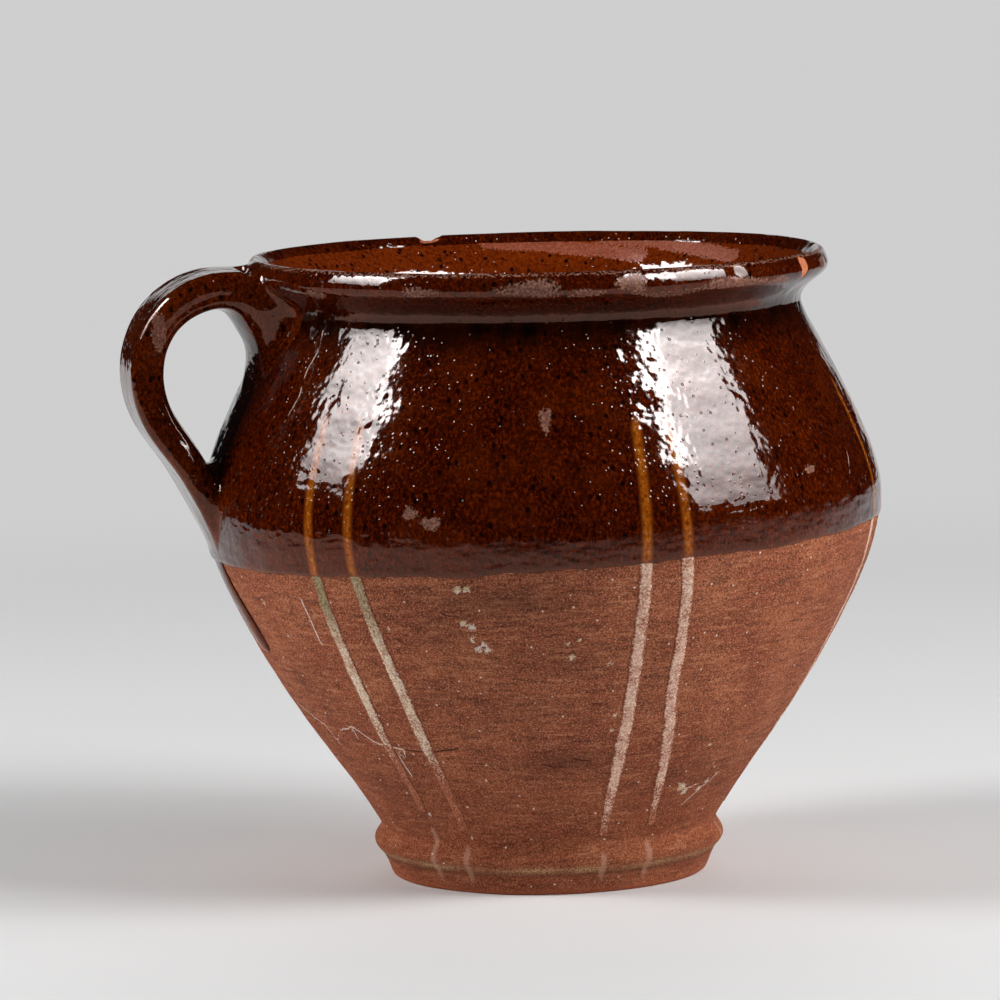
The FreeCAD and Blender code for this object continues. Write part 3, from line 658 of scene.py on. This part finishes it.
def coat_notes(piece, azimuth, place, points):
    """Notes on a coat where it is chipped or rubbed."""
    bare = np.zeros(place.shape)
    for centre, past_crest, half_round, half_over, deep, shows in CHIPS:
        away = patch(azimuth, place, centre, outline.crest + past_crest, half_round, half_over)
        bare = np.maximum(bare, shows * np.clip(1.5 - away, 0, 1))
    rubbed_and_reflection = np.zeros(place.shape)
    for centre, height, half_round, half_up in RUBBED:
        away = patch(azimuth, place, centre, outline.outside_at(height), half_round, half_up)
        rubbed_and_reflection = np.maximum(rubbed_and_reflection, np.clip(1.3 - away, 0, 1))
    rubbed_and_reflection = np.maximum(rubbed_and_reflection, 0.42 * np.exp(-((place - outline.crest + 0.8) / 0.7) ** 2))
    note(piece, "bare", bare)
    note(piece, "rubbed_and_reflection", rubbed_and_reflection * (place < outline.crest + 2))
    note_scratches(piece, "scratch", points, GLAZE_SCRATCHES)


def dip_outside(material):
    """The outside coat, from its thick lower edge up over the rim and a little way inside."""
    around = 660
    azimuth = np.arange(around) * 360 / around
    level = DIP_HEIGHT + DIP_TILT_RISE * np.sin(np.radians(azimuth - DIP_LEVEL_AZIMUTH))
    ring = on_outside(azimuth, level)
    level = level + 0.7 * lumpy(ring, 17, 3) + 0.45 * lumpy(ring, 5, 4)
    edge = outline.outside_at(level)
    inner_end = outline.crest + LIP_OVERLAP + 0.6 * lumpy(ring, 20, 6)

    from_edge = np.array([0.0, 0.12, 0.35, 0.75, 1.3, 2.0])
    share = np.linspace(0, 1, 106)[1:]
    top = np.vstack([edge[None] + from_edge[:, None],
                     edge[None] + 2.0 + share[:, None] * (inner_end - edge - 2.0)[None]])
    under = np.linspace(1, 0, 9)[:, None] * (inner_end - edge)[None] + edge[None]
    azimuth_top = np.broadcast_to(azimuth, top.shape)

    past = top - edge[None]
    rolled = np.sqrt(np.clip(1 - (1 - np.clip(past / 1.1, 0, 1)) ** 2, 0, 1))
    lapped = np.clip((inner_end[None] - top) / 2.5, 0, 1)
    bead = 0.16 * np.exp(-((past - 1.6) / 1.2) ** 2)
    thick = (GLAZE_THICK * rolled * (0.35 + 0.65 * lapped) + bead * rolled)
    thick = np.minimum(thick, GLAZE_THICK + 0.1) - 0.12 * (1 - rolled)
    true = outline.points(top, azimuth_top, 0)
    ripple = 0.05 * (lumpy(true, 9, 7) - 0.6)
    ripple = ripple + 0.05 * (lumpy(true * (0.45, 0.45, 1.0), 3.6, 12) - 0.5) * np.exp(-((past - 9) / 8) ** 2)
    marks = hand_marks(azimuth_top, top)
    lift = marks + thick + ripple - chip_depth(azimuth_top, top)
    points = outline.points(top, azimuth_top, lift)
    sunk = outline.points(under, np.broadcast_to(azimuth, under.shape), -2.4)
    piece = woven("outside_glaze", np.vstack([points, sunk]), material, closed=True)

    away = np.full(top.shape, 20.0)
    shows = np.zeros(top.shape)
    height = outline.read("height", top)
    for line in SLIP_LINES.values():
        off = np.radians(wrapped(azimuth_top - line_azimuth(line, height))) * outline.read("radius", top)
        nearer = np.abs(off) < away
        away = np.where(nearer, np.abs(off), away)
        shows = np.where(nearer, np.clip((line[4] - height) / 6, 0, 1), shows)
    outside = top < outline.crest
    note(piece, "from_line", np.where(outside, away, 20.0))
    note(piece, "line_shows", shows * outside)
    note(piece, "above_edge", past)
    # A band below the neck where the coat is painted darker
    streaked = 1 + 0.35 * lumpy(true * (1.0, 1.0, 0.3), 4, 13)
    note(piece, "darker_below_neck", np.exp(-((height - 163.5) / 6.0) ** 2) * streaked * outside)
    coat_notes(piece, azimuth_top, top, points)
    stands_for(piece, "lead_glaze", "outer_glaze")
    return piece


def pour_inside(material):
    """The inside coat, poured in and tipped out, from under the outside coat's end to the floor."""
    around = 460
    azimuth = np.arange(around) * 360 / around
    start, end = outline.crest + LIP_OVERLAP - 3.5, outline.end - 3
    place = np.concatenate([np.linspace(start, start + 40, 44), np.linspace(start + 40, end, 96)[1:]])
    under = np.linspace(end, start, 14)
    place_top, azimuth_top = np.meshgrid(place, azimuth, indexing="ij")
    place_under, azimuth_under = np.meshgrid(under, azimuth, indexing="ij")
    started = np.clip((place_top - start) / 5, 0, 1)
    true = outline.points(place_top, azimuth_top, 0)
    fingers = 0.16 * np.cos(2 * np.pi * outline.read("height", place_top) / 11.0 + np.radians(azimuth_top))
    thick = GLAZE_THICK * (0.3 + 0.6 * started) + 0.06 * lumpy(true, 12, 8) * started + fingers * started
    marks = hand_marks(azimuth_top, place_top) * np.clip(1 - (place_top - start) / 20, 0, 1)
    lift = marks + thick - chip_depth(azimuth_top, place_top)
    points = outline.points(place_top, azimuth_top, lift)
    sunk = outline.points(place_under, azimuth_under, -2.0)
    piece = woven("inside_glaze", np.vstack([sunk, points]), material, closed=False)
    # Painted reflection: pale pink streaks inside the rim, kept in the note that holds rubbed wear on the other coats
    thin = np.zeros(place_top.shape)
    near_rim = place_top[:, 0] < outline.crest + 20
    side, near = beside_lines(points[near_rim], PAINTED_REFLECTION_STREAKS, 3.0, inside_at)
    thin[near_rim] = 0.85 * np.clip(2.2 * near, 0, 1)
    note(piece, "rubbed_and_reflection", np.vstack([np.zeros(place_under.shape), thin]))
    stands_for(piece, "lead_glaze", "inner_glaze")
    return piece


def brush_slip(node, line, material, stained, faint_end, seed):
    """One line of slip from a loaded brush, with ragged edges and a tip where the brush ran dry."""
    top, bottom = line[4:]
    height = np.linspace(top, bottom, 190)
    azimuth = line_azimuth(line, height)
    middle = on_outside(azimuth, height)
    run_out = np.clip((height - bottom) / 26, 0, 1)
    wander = 0.2 * lumpy(middle, 7, seed) + 0.12 * lumpy(middle, 2.2, seed + 1)
    half = SLIP_WIDTH / 2 * (0.65 + 0.35 * run_out) * (1 + 0.15 * lumpy(middle, 4, seed + 2))
    section = np.array([(-1, -0.5), (-0.92, 0.35), (-0.6, 0.95), (0, 1), (0.6, 0.95), (0.92, 0.35), (1, -0.5),
                        (0, -1.6)])
    radius = outline.read("radius", outline.outside_at(height))
    rings = []
    for across, lift in section:
        shift = np.degrees((wander + across * half) / radius)
        place = outline.outside_at(height)
        marks = hand_marks(azimuth + shift, place)
        rings.append(outline.points(place, azimuth + shift, marks + lift * SLIP_THICK))
    piece = woven(node.replace("stripe", "line"), np.stack(rings, axis=1), material, closed=False)
    loaded = np.clip((height - bottom - faint_end) / 22, 0, 1)
    note(piece, "covers", np.repeat(0.75 * np.sqrt(loaded) - 0.45, len(section)))
    note(piece, "to_edge", np.tile(np.abs(section[:, 0]), len(height)))
    note(piece, "stained", np.repeat(stained * np.clip((height - 74) / 13, 0, 1), len(section)))
    stands_for(piece, "slip", node)
    return piece


def let_glaze_run(material):
    """The drop of glaze that ran down the bare clay below the handle."""
    steps = smooth_line(RUN, 0.6)
    angle = np.linspace(0, 2 * np.pi, 24, endpoint=False)
    rings = []
    for azimuth, height, half, thick in steps:
        half, thick = max(half, 0.2), max(thick, 0.05)
        across = half * np.cos(angle)
        above = thick * np.abs(np.sin(angle)) ** 0.8
        rise = np.where(np.sin(angle) > 0, above, 0.6 * np.sin(angle))
        place = outline.outside_at(height)
        around = azimuth + np.degrees(across / outline.read("radius", place))
        rings.append(outline.points(place, around, rise + hand_marks(around, place)))
    piece = woven("run_of_glaze", np.array(rings)[::-1], material, closed=False)
    stands_for(piece, "lead_glaze", "glaze_run")
    return piece


# The handle is modelled as a field of distances, so that strap and smeared lumps flow into each other.

def melted(first, second, reach):
    """The nearer of two distances, with the crease between them filled over a reach."""
    near = np.clip(reach - np.abs(first - second), 0, None) / reach
    return np.minimum(first, second) - near ** 2 * reach / 4


def to_box(half_sizes, edge, *offsets):
    """Distance to a box with rounded edges, from offsets that are measured from its middle."""
    over = [np.abs(offset) - half + edge for offset, half in zip(offsets, half_sizes)]
    outside = np.sqrt(sum(np.clip(part, 0, None) ** 2 for part in over))
    inside = np.minimum(np.maximum.reduce(np.broadcast_arrays(*over)), 0)
    return outside + inside - edge


def to_lump(lump, coat, x, y, z):
    """Distance to an ellipsoid of soft clay."""
    out, up = lump[:2]
    half = [size + coat for size in lump[2:]]
    offsets = (x + out, y, z - up)
    near = np.sqrt(sum((offset / size) ** 2 for offset, size in zip(offsets, half)))
    steep = np.sqrt(sum((offset / size ** 2) ** 2 for offset, size in zip(offsets, half)))
    return near * (near - 1) / np.maximum(steep, 1e-6)


def to_strap(coat, x, y, z):
    """Distance to the pulled strap, domed outside, with a crease along its edges where fingers held it."""
    line = smooth_line(STRAP, 0.4)
    centre = np.stack([-line[:, 0], line[:, 1]], axis=1)
    along = np.gradient(centre, axis=0)
    along /= np.linalg.norm(along, axis=1)[:, None]
    away = np.stack([-along[:, 1], along[:, 0]], axis=1)
    plane_x, plane_z = x[:, 0, :], z[:, 0, :]
    gaps = (plane_x[..., None] - centre[:, 0]) ** 2 + (plane_z[..., None] - centre[:, 1]) ** 2
    nearest = np.argmin(gaps, axis=-1)
    off = np.stack([plane_x, plane_z], axis=-1) - centre[nearest]
    outward = (off * away[nearest]).sum(axis=-1)[:, None, :]
    beyond = (off * along[nearest]).sum(axis=-1)[:, None, :]
    thick, wide = line[nearest, 2][:, None, :] + 2 * coat, line[nearest, 3][:, None, :] + 2 * coat
    walked = nearest[:, None, :] / len(line)
    shown = np.clip(walked / 0.15, 0, 1) * np.clip((1 - walked) / 0.2, 0, 1)
    domed = 0.6 * shown * (y / 13.5) ** 2
    crease = 0.5 * np.exp(-((outward - 1.0 - 1.2 * walked) / 1.0) ** 2) * shown
    swell = np.where(np.abs(y) > wide / 2 - 3, -crease, 0)
    half_sizes = (thick / 2 - domed, wide / 2 + swell, STRAP_EDGE_ROUND)
    return to_box(half_sizes, STRAP_EDGE_ROUND, outward + domed, y, beyond)


def to_glazed_wall(x, y, z):
    """Distance to the glazed outside of the jar, a touch under it."""
    sunk = 0.2
    near_handle = (outline.place > outline.outside_at(70)) & (outline.place < outline.crest + 10)
    pick = np.flatnonzero(near_handle)[::3]
    line_radius = outline.radius[pick] + outline.out[pick] * (GLAZE_THICK - sunk)
    line_height = outline.height[pick] + outline.up[pick] * (GLAZE_THICK - sunk)
    azimuth = np.degrees(np.arctan2(x, -y))
    radius = np.hypot(x, y)
    radii = np.arange(radius.min() - 1, radius.max() + 1, 0.4)
    found = np.empty(x.shape)
    for level in range(z.shape[2]):
        height = z[0, 0, level]
        gaps = (radii[:, None] - line_radius) ** 2 + (height - line_height) ** 2
        best = np.argmin(gaps, axis=1)
        side = ((radii - line_radius[best]) * outline.out[pick][best]
                + (height - line_height[best]) * outline.up[pick][best])
        distance = np.sqrt(gaps[np.arange(len(radii)), best]) * np.sign(side)
        place = outline.outside_at(min(height, 179.0))
        marks = hand_marks(azimuth[:, :, level], np.full(azimuth[:, :, level].shape, place))
        found[:, :, level] = np.interp(radius[:, :, level] - marks, radii, distance)
    return found


def skin_of(field, low, step):
    """Points and quads on the skin where a field of distances changes sign, one point in each cell."""
    inside = field < 0
    cells = tuple(size - 1 for size in field.shape)
    total_at, count = np.zeros(cells + (3,)), np.zeros(cells)
    corner_index = np.stack(np.meshgrid(*[np.arange(size) for size in cells], indexing="ij"), axis=-1)
    for axis in range(3):
        others = [other for other in range(3) if other != axis]
        for first in (0, 1):
            for second in (0, 1):
                start = [0, 0, 0]
                start[others[0]], start[others[1]] = first, second
                here = tuple(slice(start[i], start[i] + cells[i]) for i in range(3))
                there = tuple(slice(start[i] + (i == axis), start[i] + (i == axis) + cells[i]) for i in range(3))
                crossing = inside[here] != inside[there]
                gap = np.where(crossing, field[here] - field[there], 1)
                point = np.zeros(cells + (3,))
                point[..., others[0]], point[..., others[1]] = first, second
                point[..., axis] = field[here] / gap
                total_at += np.where(crossing[..., None], point, 0)
                count += crossing
    used = count > 0
    number = np.full(cells, -1)
    number[used] = np.arange(used.sum())
    points = low + step * (corner_index[used] + total_at[used] / count[used][:, None])
    quads = []
    for axis in range(3):
        one, two = [(1, 2), (2, 0), (0, 1)][axis]
        ahead = [slice(None)] * 3
        ahead[axis] = slice(1, None)
        behind = [slice(None)] * 3
        behind[axis] = slice(None, -1)
        crossing = inside[tuple(behind)] != inside[tuple(ahead)]
        leaving = inside[tuple(behind)]
        at = np.argwhere(crossing)
        at = at[(at[:, one] > 0) & (at[:, two] > 0) & (at[:, one] < cells[one]) & (at[:, two] < cells[two])]
        step_one, step_two = np.eye(3, dtype=int)[one], np.eye(3, dtype=int)[two]
        around = [at - step_one - step_two, at - step_two, at, at - step_one]
        quad = np.stack([number[tuple(cell.T)] for cell in around], axis=1)
        backwards = ~leaving[tuple(at.T)]
        quad[backwards] = quad[backwards][:, ::-1]
        quads.append(quad)
    return points, np.vstack(quads)


def to_handle(coat, x, y, z):
    """Distance to the strap with its two lumps."""
    handle = melted(to_strap(coat, x, y, z), to_lump(RIM_LUMP, coat, x, y, z), 8.0)
    handle = melted(handle, to_lump(RIM_SMEAR, coat, x, y, z), 9.0)
    return melted(handle, to_lump(BELLY_LUMP, coat, x, y, z), 4.0)


def pull_handle(clay, glaze):
    """The handle: its clay, and the glaze over it, which runs out onto the wall at both joints."""
    dip = DIP_HEIGHT + DIP_TILT_RISE * np.sin(np.radians(-90 - DIP_LEVEL_AZIMUTH))
    for name, node, step, coat, material, slot in (
            ("handle_clay", "pulled_handle", 1.2, -0.4, clay, "earthenware"),
            ("glazed_handle", "handle_glaze", 0.62, GLAZE_THICK, glaze, "lead_glaze")):
        low, high = np.array([-122.5, -27.0, 84.0]), np.array([-62.0, 27.0, 182.0])
        axes = [np.arange(low[i], high[i], step) for i in range(3)]
        x, y, z = np.meshgrid(*axes, indexing="ij")
        handle = to_handle(coat, x, y, z)
        wall = to_glazed_wall(x, y, z)
        nick = NICK[2] + GLAZE_THICK - coat - np.hypot(x + NICK[0], z - NICK[1]) - np.clip(y - 2, 0, 2)
        if material == glaze:
            under_rim = np.clip((z - 125) / 20, 0, 1) * np.clip((176 - z) / 10, 0, 1)
            joined = melted(handle, wall, 2.0 + 5.5 * under_rim)
            field = np.maximum.reduce([joined, -(wall + 1.6), handle - 6.5, (dip + 1.0) - z, nick])
        else:
            field = np.maximum.reduce([handle, -(wall + 3.0), (dip + 2.5) - z, nick])
        points, quads = skin_of(field, low, step)
        piece = mesh_piece(name, points, quads.tolist(), material)
        smooth = piece.modifiers.new("wiped", "SMOOTH")
        smooth.factor, smooth.iterations = 0.5, 3
        stands_for(piece, slot, node)
    middle, half_sizes = (np.array(row) for row in WORN_GRIP)
    away = np.linalg.norm((points - middle) / half_sizes, axis=1)
    note(piece, "rubbed_and_reflection", np.clip(1.5 - away, 0, 1))


def press_lump(name, node, lump, material):
    """A lump of soft clay that was pressed into a joint, under the glaze."""
    out, up, half_out, half_across, half_up = lump
    turn = np.arange(40) * 2 * np.pi / 40
    slope, turn = np.meshgrid(np.radians(np.linspace(-85, 85, 19)), turn, indexing="ij")
    rings = np.stack([-out + half_out * np.cos(slope) * np.sin(turn), -half_across * np.cos(slope) * np.cos(turn),
                      up + half_up * np.sin(slope)], axis=-1)
    stands_for(woven(name, rings, material, closed=False), "earthenware", node)


def build_jar():
    clay = turned_earthenware()
    outside = lead_glaze("dipped_lead_glaze", "#120200", "#3b0b00", "#782c02", has_lines=True)
    # The inside coat's worn colours paint the pink streaks of reflection inside the rim
    inside = lead_glaze("poured_lead_glaze", "#351000", "#742806", "#94400c", ("#80361c", "#b26c50"))
    handled = lead_glaze("handle_lead_glaze", "#180300", "#421000", "#7c3205", ("#5a2c1c", "#946450"))
    throw_body(clay)
    dip_outside(outside)
    pour_inside(inside)
    pull_handle(clay, handled)
    press_lump("rim_lump", "rim_joint_clay", RIM_LUMP, clay)
    press_lump("belly_lump", "belly_joint_clay", BELLY_LUMP, clay)
    let_glaze_run(handled)
    cream = brushed_slip("brushed_slip", "#cfa88c", "#e2caae")
    pink = brushed_slip("pink_slip", "#cb927a", "#e0b49c")
    for number, (name, line) in enumerate(SLIP_LINES.items()):
        stained = {"slip_stripe_1_left": 1.0, "slip_stripe_1_right": 0.85}.get(name, 0.12)
        first_pair = name.startswith("slip_stripe_1")
        brush_slip(name, line, cream if first_pair else pink, stained, 15.0 if first_pair else 0.0,
                   20 + 3 * number)


# Stage: floor, backdrop, lights and camera. Azimuths here count from the camera's side.

CAMERA_AZIMUTH = -12.0
CAMERA_ELEVATION = 6.6
CAMERA_ROLL = 1.25
CAMERA_AIM = Vector((0, 0, 0.1075))
CAMERA_DISTANCE = 1.7055
FOCAL_IN_FRAMES = 5.9            # focal length over the frame's width
JAR_RIGHT_OF_MIDDLE = 0.0416     # how far right of the frame's middle the jar's axis stands

PAPER_GLOW = 0.62
ROOM_SIZE = 12.0
ROOM_HEIGHT = 8.0
TABLE_FRONT = 0.47               # how far in front of the jar the lit table ends
TABLE_SIDE = 1.1
TABLE_BACK = 2.6
PAPER_LEFT = 0.8                 # how far the backdrop that the glaze mirrors reaches to each side
PAPER_RIGHT = 0.95
PAPER_TOP = 0.62


def direction(azimuth, elevation):
    a, e = math.radians(CAMERA_AZIMUTH + azimuth), math.radians(elevation)
    return Vector((math.sin(a) * math.cos(e), -math.cos(a) * math.cos(e), math.sin(e)))


def glowing(name, colour, strength):
    """The even glow of lit paper."""
    material, tree, where = new_surface(name)
    light = add(tree, "Emission", {"Color": paint(colour), "Strength": strength})
    add(tree, "OutputMaterial", {"Surface": light})
    return material


def flat_sheet(name, corners, material, *rays):
    """A flat sheet of the stage that only some kinds of ray see."""
    mesh = bpy.data.meshes.new(name)
    mesh.from_pydata(corners, [], [list(range(len(corners)))])
    mesh.materials.append(material)
    sheet = bpy.data.objects.new(name, mesh)
    bpy.context.scene.collection.objects.link(sheet)
    for ray in ("camera", "diffuse", "glossy", "transmission", "volume_scatter", "shadow"):
        setattr(sheet, "visible_" + ray, ray in rays)
    return sheet


def pale_paper():
    """Matt white paper under the jar, which turns into an even glow further off."""
    material, tree, where = new_surface("pale_paper")
    flat = stretched(tree, where, (MM, MM, 0.0))
    distance = add(tree, "VectorMath", {0: flat}, output="Value", operation="LENGTH")
    far = share_of(tree, distance, 0.5, 0.95)
    paper = add(tree, "BsdfDiffuse", {"Color": paint("#eeeeee")})
    glow = add(tree, "Emission", {"Color": (1, 1, 1, 1), "Strength": PAPER_GLOW})
    add(tree, "OutputMaterial", {"Surface": add(tree, "MixShader", {0: far, 1: paper, 2: glow})})
    return material


def set_floor():
    half = ROOM_SIZE
    square = [(-half, -half, 0), (half, -half, 0), (half, half, 0), (-half, half, 0)]
    flat_sheet("floor", square, pale_paper(), "camera", "diffuse", "shadow")
    glow = glowing("backdrop_glow", "#ffffff", PAPER_GLOW)
    for i, (first, last) in enumerate(zip(square, square[1:] + square[:1])):
        corners = [first, last, (*last[:2], ROOM_HEIGHT), (*first[:2], ROOM_HEIGHT)]
        flat_sheet("backdrop_%d" % (i + 1), corners, glow, "camera")

    warm = glowing("table_as_mirrored", "#ffc4b0", 0.8)
    behind, aside = -direction(0, 0), direction(90, 0)
    near = behind * 0.15
    for name, start, end, surface in (
            ("table_front", -behind * TABLE_FRONT, near, warm),
            ("table_back", near, behind * TABLE_BACK, glow)):
        corners = [start - aside * TABLE_SIDE, start + aside * TABLE_SIDE,
                   end + aside * TABLE_SIDE, end - aside * TABLE_SIDE]
        flat_sheet(name, [(*corner[:2], 0.0001) for corner in corners], surface, "glossy")
    left, right = behind * TABLE_BACK - aside * PAPER_LEFT, behind * TABLE_BACK + aside * PAPER_RIGHT
    corners = [(*left[:2], -1.6), (*right[:2], -1.6), (*right[:2], PAPER_TOP), (*left[:2], PAPER_TOP)]
    flat_sheet("backdrop_as_mirrored", corners, glow, "glossy")

    world = bpy.data.worlds.new("dim_room")
    bpy.context.scene.world = world
    world.use_nodes = True
    world.node_tree.nodes["Background"].inputs["Color"].default_value = (0.005, 0.005, 0.005, 1.0)


def facing_jar(azimuth, elevation, distance):
    """The place and turn of something flat that looks at the jar."""
    towards = direction(azimuth, elevation)
    turn = towards.to_track_quat("Z", "Y").to_matrix()
    return Matrix.LocRotScale(CAMERA_AIM + towards * distance, turn, None)


def mirrored_softbox(name, azimuth, elevation, wide, tall, glow, strip_glow, near_side):
    """What the glaze mirrors of a softbox: bright at the top, dim below with a bright hem, and brightest
    along the edge that is nearer to the camera's side, which is -1 or 1 along the sheet."""
    distance = 1.5
    material, tree, where = new_surface(name)
    inside = stretched(tree, where, (MM / (wide * distance), MM / (tall * distance), 0.0))
    across = add(tree, "SeparateXYZ", {0: inside}, output="X")
    up = add(tree, "SeparateXYZ", {0: inside}, output="Y")
    rise = add(tree, "MapRange", {0: up, 1: -0.5, 2: 0.35, 3: 0.14, 4: 1.15})
    near_edge = share_of(tree, total(tree, (across, near_side)), 0.27, 0.36)
    high_part = share_of(tree, up, -0.14, 0.06)
    strip = add(tree, "Math", {0: near_edge, 1: high_part}, operation="MULTIPLY")
    hem = share_of(tree, up, -0.465, -0.48)
    top = share_of(tree, up, 0.1, 0.4)
    strength = total(tree, (rise, glow), (strip, strip_glow * glow), (hem, 0.4 * glow), (top, 0.35 * glow))
    light = add(tree, "Emission", {"Color": paint("#fff6f4"), "Strength": strength})
    add(tree, "OutputMaterial", {"Surface": light})
    x, y = wide * distance / 2, tall * distance / 2
    sheet = flat_sheet(name, [(-x, -y, 0), (x, -y, 0), (x, y, 0), (-x, y, 0)], material, "glossy")
    sheet.matrix_world = facing_jar(azimuth, elevation, distance)


def soft_light(name, azimuth, elevation, size, glow, distance):
    """A square soft light on the jar and the paper, which the glaze doesn't mirror."""
    data = bpy.data.lights.new(name, "AREA")
    data.size = size
    data.energy = glow * size * size * math.pi
    light = bpy.data.objects.new(name, data)
    light.matrix_world = facing_jar(azimuth, elevation, distance)
    light.visible_glossy = False
    bpy.context.scene.collection.objects.link(light)


def set_lights():
    mirrored_softbox("left_softbox", -82.3, 36.0, 0.378, 0.536, 15.5, 0.5, 1)
    mirrored_softbox("right_softbox", 69.5, 33.0, 0.555, 0.69, 12.0, 0.9, -1)
    soft_light("left_light", -82.0, 28.0, 0.5, 15.0, 1.5)
    soft_light("high_left_light", -82.0, 38.0, 0.5, 2.9, 1.5)
    soft_light("right_light", 62.0, 38.0, 0.6, 11.2, 1.5)
    soft_light("low_right_light", 82.0, 28.0, 0.6, 5.5, 1.5)
    soft_light("low_back_light", 180.0, 20.0, 1.5, 1.6, 2.5)
    soft_light("high_back_light", 180.0, 45.0, 2.0, 0.57, 2.5)


def set_camera():
    data = bpy.data.cameras.new("camera")
    data.lens = FOCAL_IN_FRAMES * data.sensor_width
    camera = bpy.data.objects.new("camera", data)
    bpy.context.scene.collection.objects.link(camera)
    back = direction(0, CAMERA_ELEVATION)
    level = back.to_track_quat("Z", "Y").to_matrix()
    rolled = level @ Matrix.Rotation(-math.radians(CAMERA_ROLL), 3, "Z")
    aside = rolled @ Matrix.Rotation(math.atan(JAR_RIGHT_OF_MIDDLE / FOCAL_IN_FRAMES), 3, "Y")
    camera.matrix_world = Matrix.LocRotScale(CAMERA_AIM + back * CAMERA_DISTANCE, aside, None)
    bpy.context.scene.camera = camera
    bpy.context.scene.view_settings.view_transform = "Standard"


build_jar()
set_floor()
set_lights()
set_camera()
